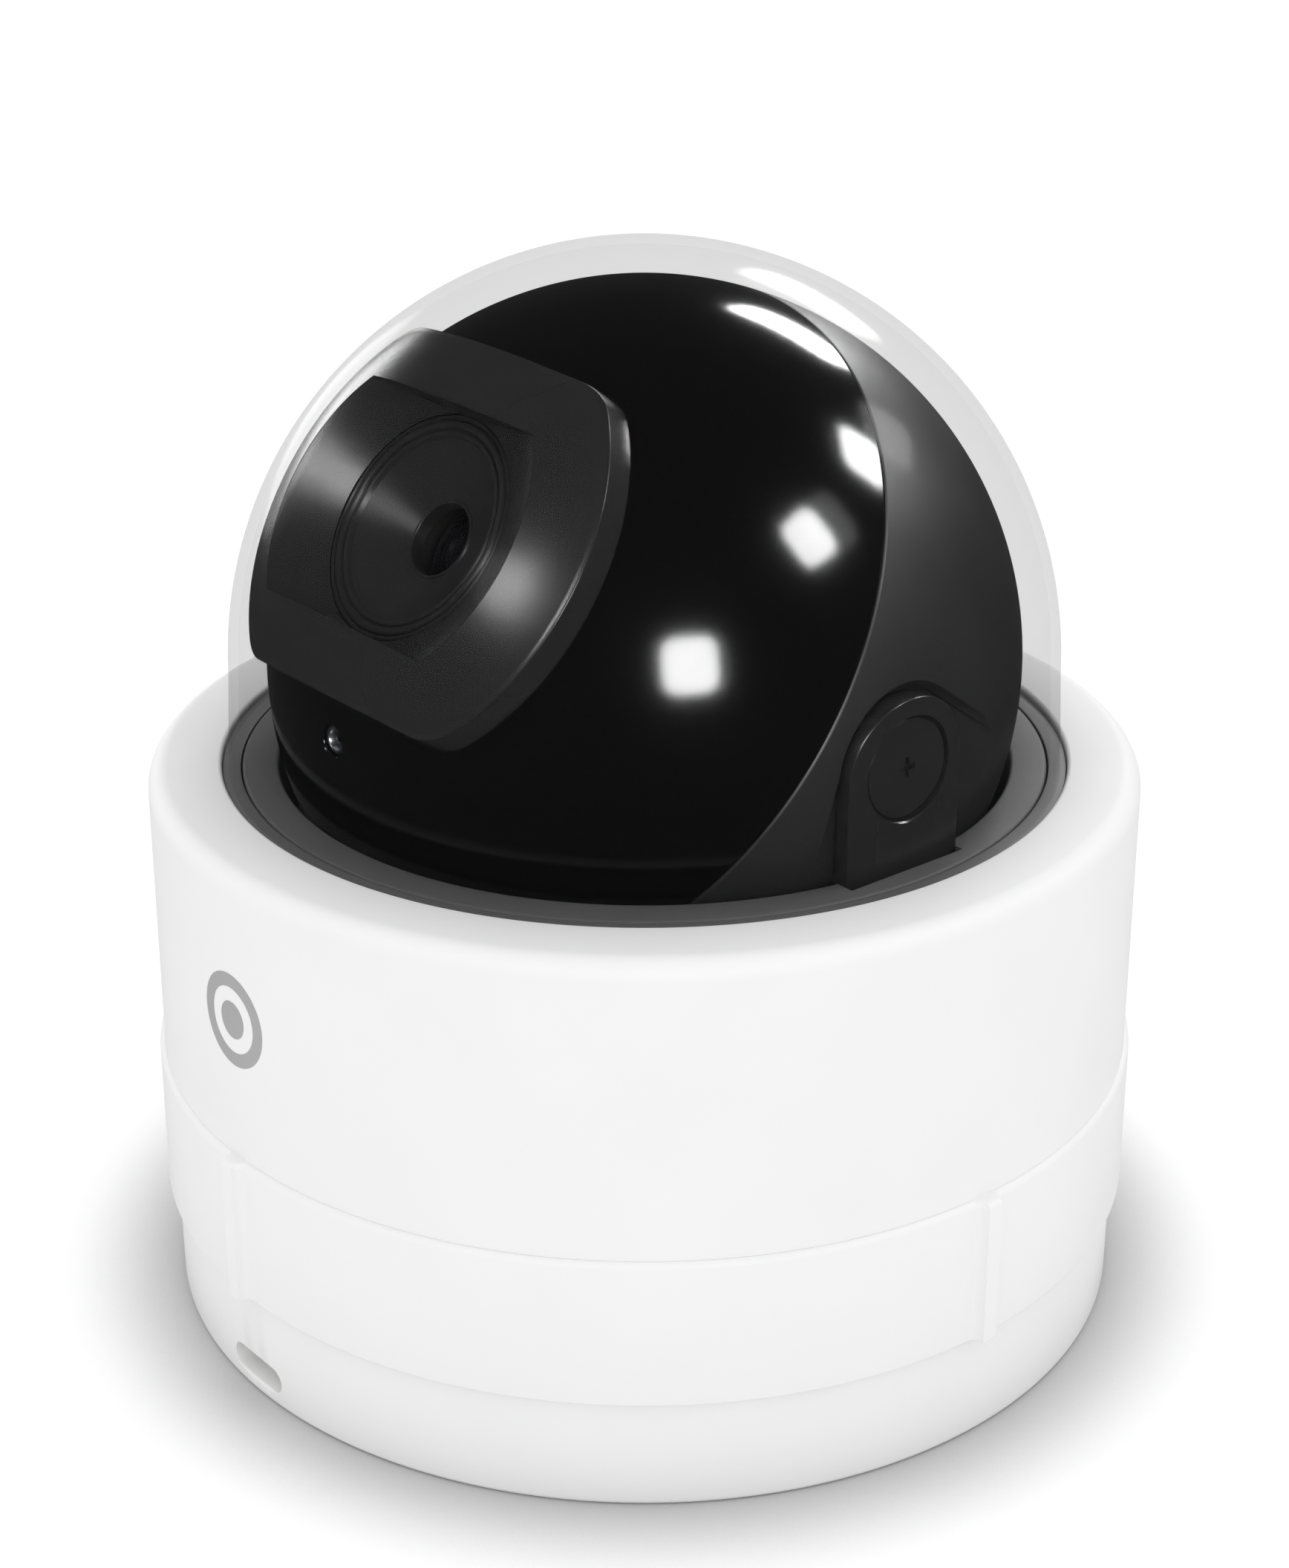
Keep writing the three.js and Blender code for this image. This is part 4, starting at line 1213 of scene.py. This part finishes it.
class CAMERA_OT_stage(bpy.types.Operator):
    """Pale floor, white surroundings, soft lamps and the camera's viewpoint"""

    bl_idname = "camera.stage"
    bl_label = "Stage"

    def execute(self, context):
        self.floor()
        self.surroundings()
        # Each soft box: azimuth from -Y towards +X, elevation, width and height in degrees, power.
        for k, box in enumerate(((64, 17, 18, 18, 32), (118, 40, 15, 15, 32),
                                 (164, 36, 15, 13, 32), (-151, 25, 19, 12, 32),
                                 (6, 33, 16, 15, 13), (-97, 4, 30, 18, 5))):
            self.soft_box(f"soft_box_{k + 1}", *box)
        self.overhead()
        self.viewpoint()
        return {"FINISHED"}

    def floor(self):
        mesh = bmesh.new()
        bmesh.ops.create_grid(mesh, x_segments=8, y_segments=8, size=3)
        floor = add_object("floor", mesh)
        floor.data.materials.append(self.floor_paint())
        floor.visible_glossy = False
        floor.visible_shadow = False

    def floor_paint(self):
        # Matt white studio paint, with a painted shadow: a soft dark band painted into its colour
        # where a thing meets the floor.
        material, tree, surface = new_material("emulsion, rolled white")
        near = add_node(tree, "ShaderNodeAmbientOcclusion",
                        {"Distance": 14 * MM, "Color": (1, 1, 1, 1)}, samples=12)
        # Painted shadow: the ramp darkens the paint to grey where nearby things hide the floor.
        ramp = two_tone(tree, near.outputs["AO"], (0.48, 0.48, 0.48),
                        tone("floor"), 0.42, 0.98)
        ramp.color_ramp.interpolation = "EASE"
        dress(tree, surface, {"Roughness": 0.9, "Specular IOR Level": 0.0},
              {"Base Color": ramp.outputs["Color"]})
        return material

    def surroundings(self):
        world = bpy.context.scene.world or bpy.data.worlds.new("surroundings")
        bpy.context.scene.world = world
        world.use_nodes = True
        tree = world.node_tree
        # Black flags keep the bright surroundings out of mirror-like surfaces.
        path = add_node(tree, "ShaderNodeLightPath")
        dress(tree, tree.nodes["Background"], {"Color": (1, 1, 1, 1)},
              {"Strength": spread(tree, path.outputs["Is Glossy Ray"], 1.04, 0.03)})
        bpy.context.scene.view_settings.view_transform = "Standard"

    def soft_box(self, name, azimuth, elevation, width, height, power):
        reach = 0.9
        lamp = bpy.data.lights.new(name, "AREA")
        lamp.shape = "RECTANGLE"
        lamp.size = 2 * reach * tan(radians(width / 2))
        lamp.size_y = 2 * reach * tan(radians(height / 2))
        lamp.energy = power * lamp.size * lamp.size_y * pi
        # The cloth of a soft box glows evenly in the middle and fades at its rounded edge.
        lamp.use_nodes = True
        tree = lamp.node_tree
        across = add_node(tree, "ShaderNodeNewGeometry").outputs["Parametric"]
        sides = add_node(tree, "ShaderNodeSeparateXYZ", None, {"Vector": across})
        powers = []
        for side in "XY":
            half = spread(tree, sides.outputs[side], -1.0, 1.0)
            for _ in range(2):
                half = add_node(tree, "ShaderNodeMath", {1: 2.0}, {0: half},
                                operation="POWER").outputs[0]
            powers.append(half)
        total = add_node(tree, "ShaderNodeMath", None, dict(enumerate(powers)))
        cloth = add_node(tree, "ShaderNodeMapRange", {"From Min": 1.0, "From Max": 0.3},
                         {"Value": total.outputs[0]}, interpolation_type="SMOOTHSTEP")
        tree.links.new(cloth.outputs["Result"], tree.nodes["Emission"].inputs["Strength"])
        a, e = radians(azimuth), radians(elevation)
        way = Vector((sin(a) * cos(e), -cos(a) * cos(e), sin(e)))
        box = self.aim(lamp, pivot * MM + way * reach, way)
        box.visible_diffuse = False

    def overhead(self):
        """A wide ceiling lamp that lifts whatever faces up, kept out of the reflections."""
        lamp = bpy.data.lights.new("ceiling", "AREA")
        lamp.size, lamp.energy = 1.6, 1.15
        spot = Vector((0.25, -0.2, 0.9))
        ceiling = self.aim(lamp, spot, spot)
        ceiling.visible_glossy = False

    def aim(self, data, spot, back):
        """Puts a lamp or a viewpoint at a spot, with its back along a direction."""
        thing = bpy.data.objects.new(data.name, data)
        bpy.context.scene.collection.objects.link(thing)
        thing.location = spot
        thing.rotation_euler = back.to_track_quat("Z", "Y").to_euler()
        return thing

    def viewpoint(self):
        azimuth, elevation = radians(50.6), radians(23.576)
        distance, aim_height = 0.2427, 0.04233
        view = bpy.data.cameras.new("viewpoint")
        view.sensor_width, view.lens = 36, 67.18
        view.clip_start = 0.01
        way = Vector((sin(azimuth) * cos(elevation), -cos(azimuth) * cos(elevation),
                      sin(elevation)))
        eye = self.aim(view, Vector((0, 0, aim_height)) + way * distance, way)
        bpy.context.scene.camera = eye


# ---------------------------------------------------------------- panel and registration
STEPS = (
    CAMERA_OT_mounting_plate, CAMERA_OT_lower_housing, CAMERA_OT_upper_shell, CAMERA_OT_mark,
    CAMERA_OT_dome, CAMERA_OT_collar, CAMERA_OT_turntable, CAMERA_OT_yoke,
    CAMERA_OT_eyeball_shells, CAMERA_OT_bezel, CAMERA_OT_lens, CAMERA_OT_light_sensor,
    CAMERA_OT_inner_parts, CAMERA_OT_stage,
)


class CAMERA_PT_panel(bpy.types.Panel):
    """Lists the steps that build the camera"""

    bl_label = "Dome camera"
    bl_idname = "CAMERA_PT_panel"
    bl_space_type = "VIEW_3D"
    bl_region_type = "UI"
    bl_category = "Dome camera"

    def draw(self, context):
        for step in STEPS:
            self.layout.operator(step.bl_idname)


CLASSES = (CameraSizes, CameraColours, *STEPS, CAMERA_PT_panel)


def register():
    for entry in CLASSES:
        bpy.utils.register_class(entry)
    bpy.types.Scene.camera_sizes = PointerProperty(type=CameraSizes)
    bpy.types.Scene.camera_colours = PointerProperty(type=CameraColours)


def unregister():
    del bpy.types.Scene.camera_colours
    del bpy.types.Scene.camera_sizes
    for entry in reversed(CLASSES):
        bpy.utils.unregister_class(entry)


def main():
    register()
    for step in STEPS:
        group, name = step.bl_idname.split(".")
        getattr(getattr(bpy.ops, group), name)()


if __name__ == "__main__":
    main()
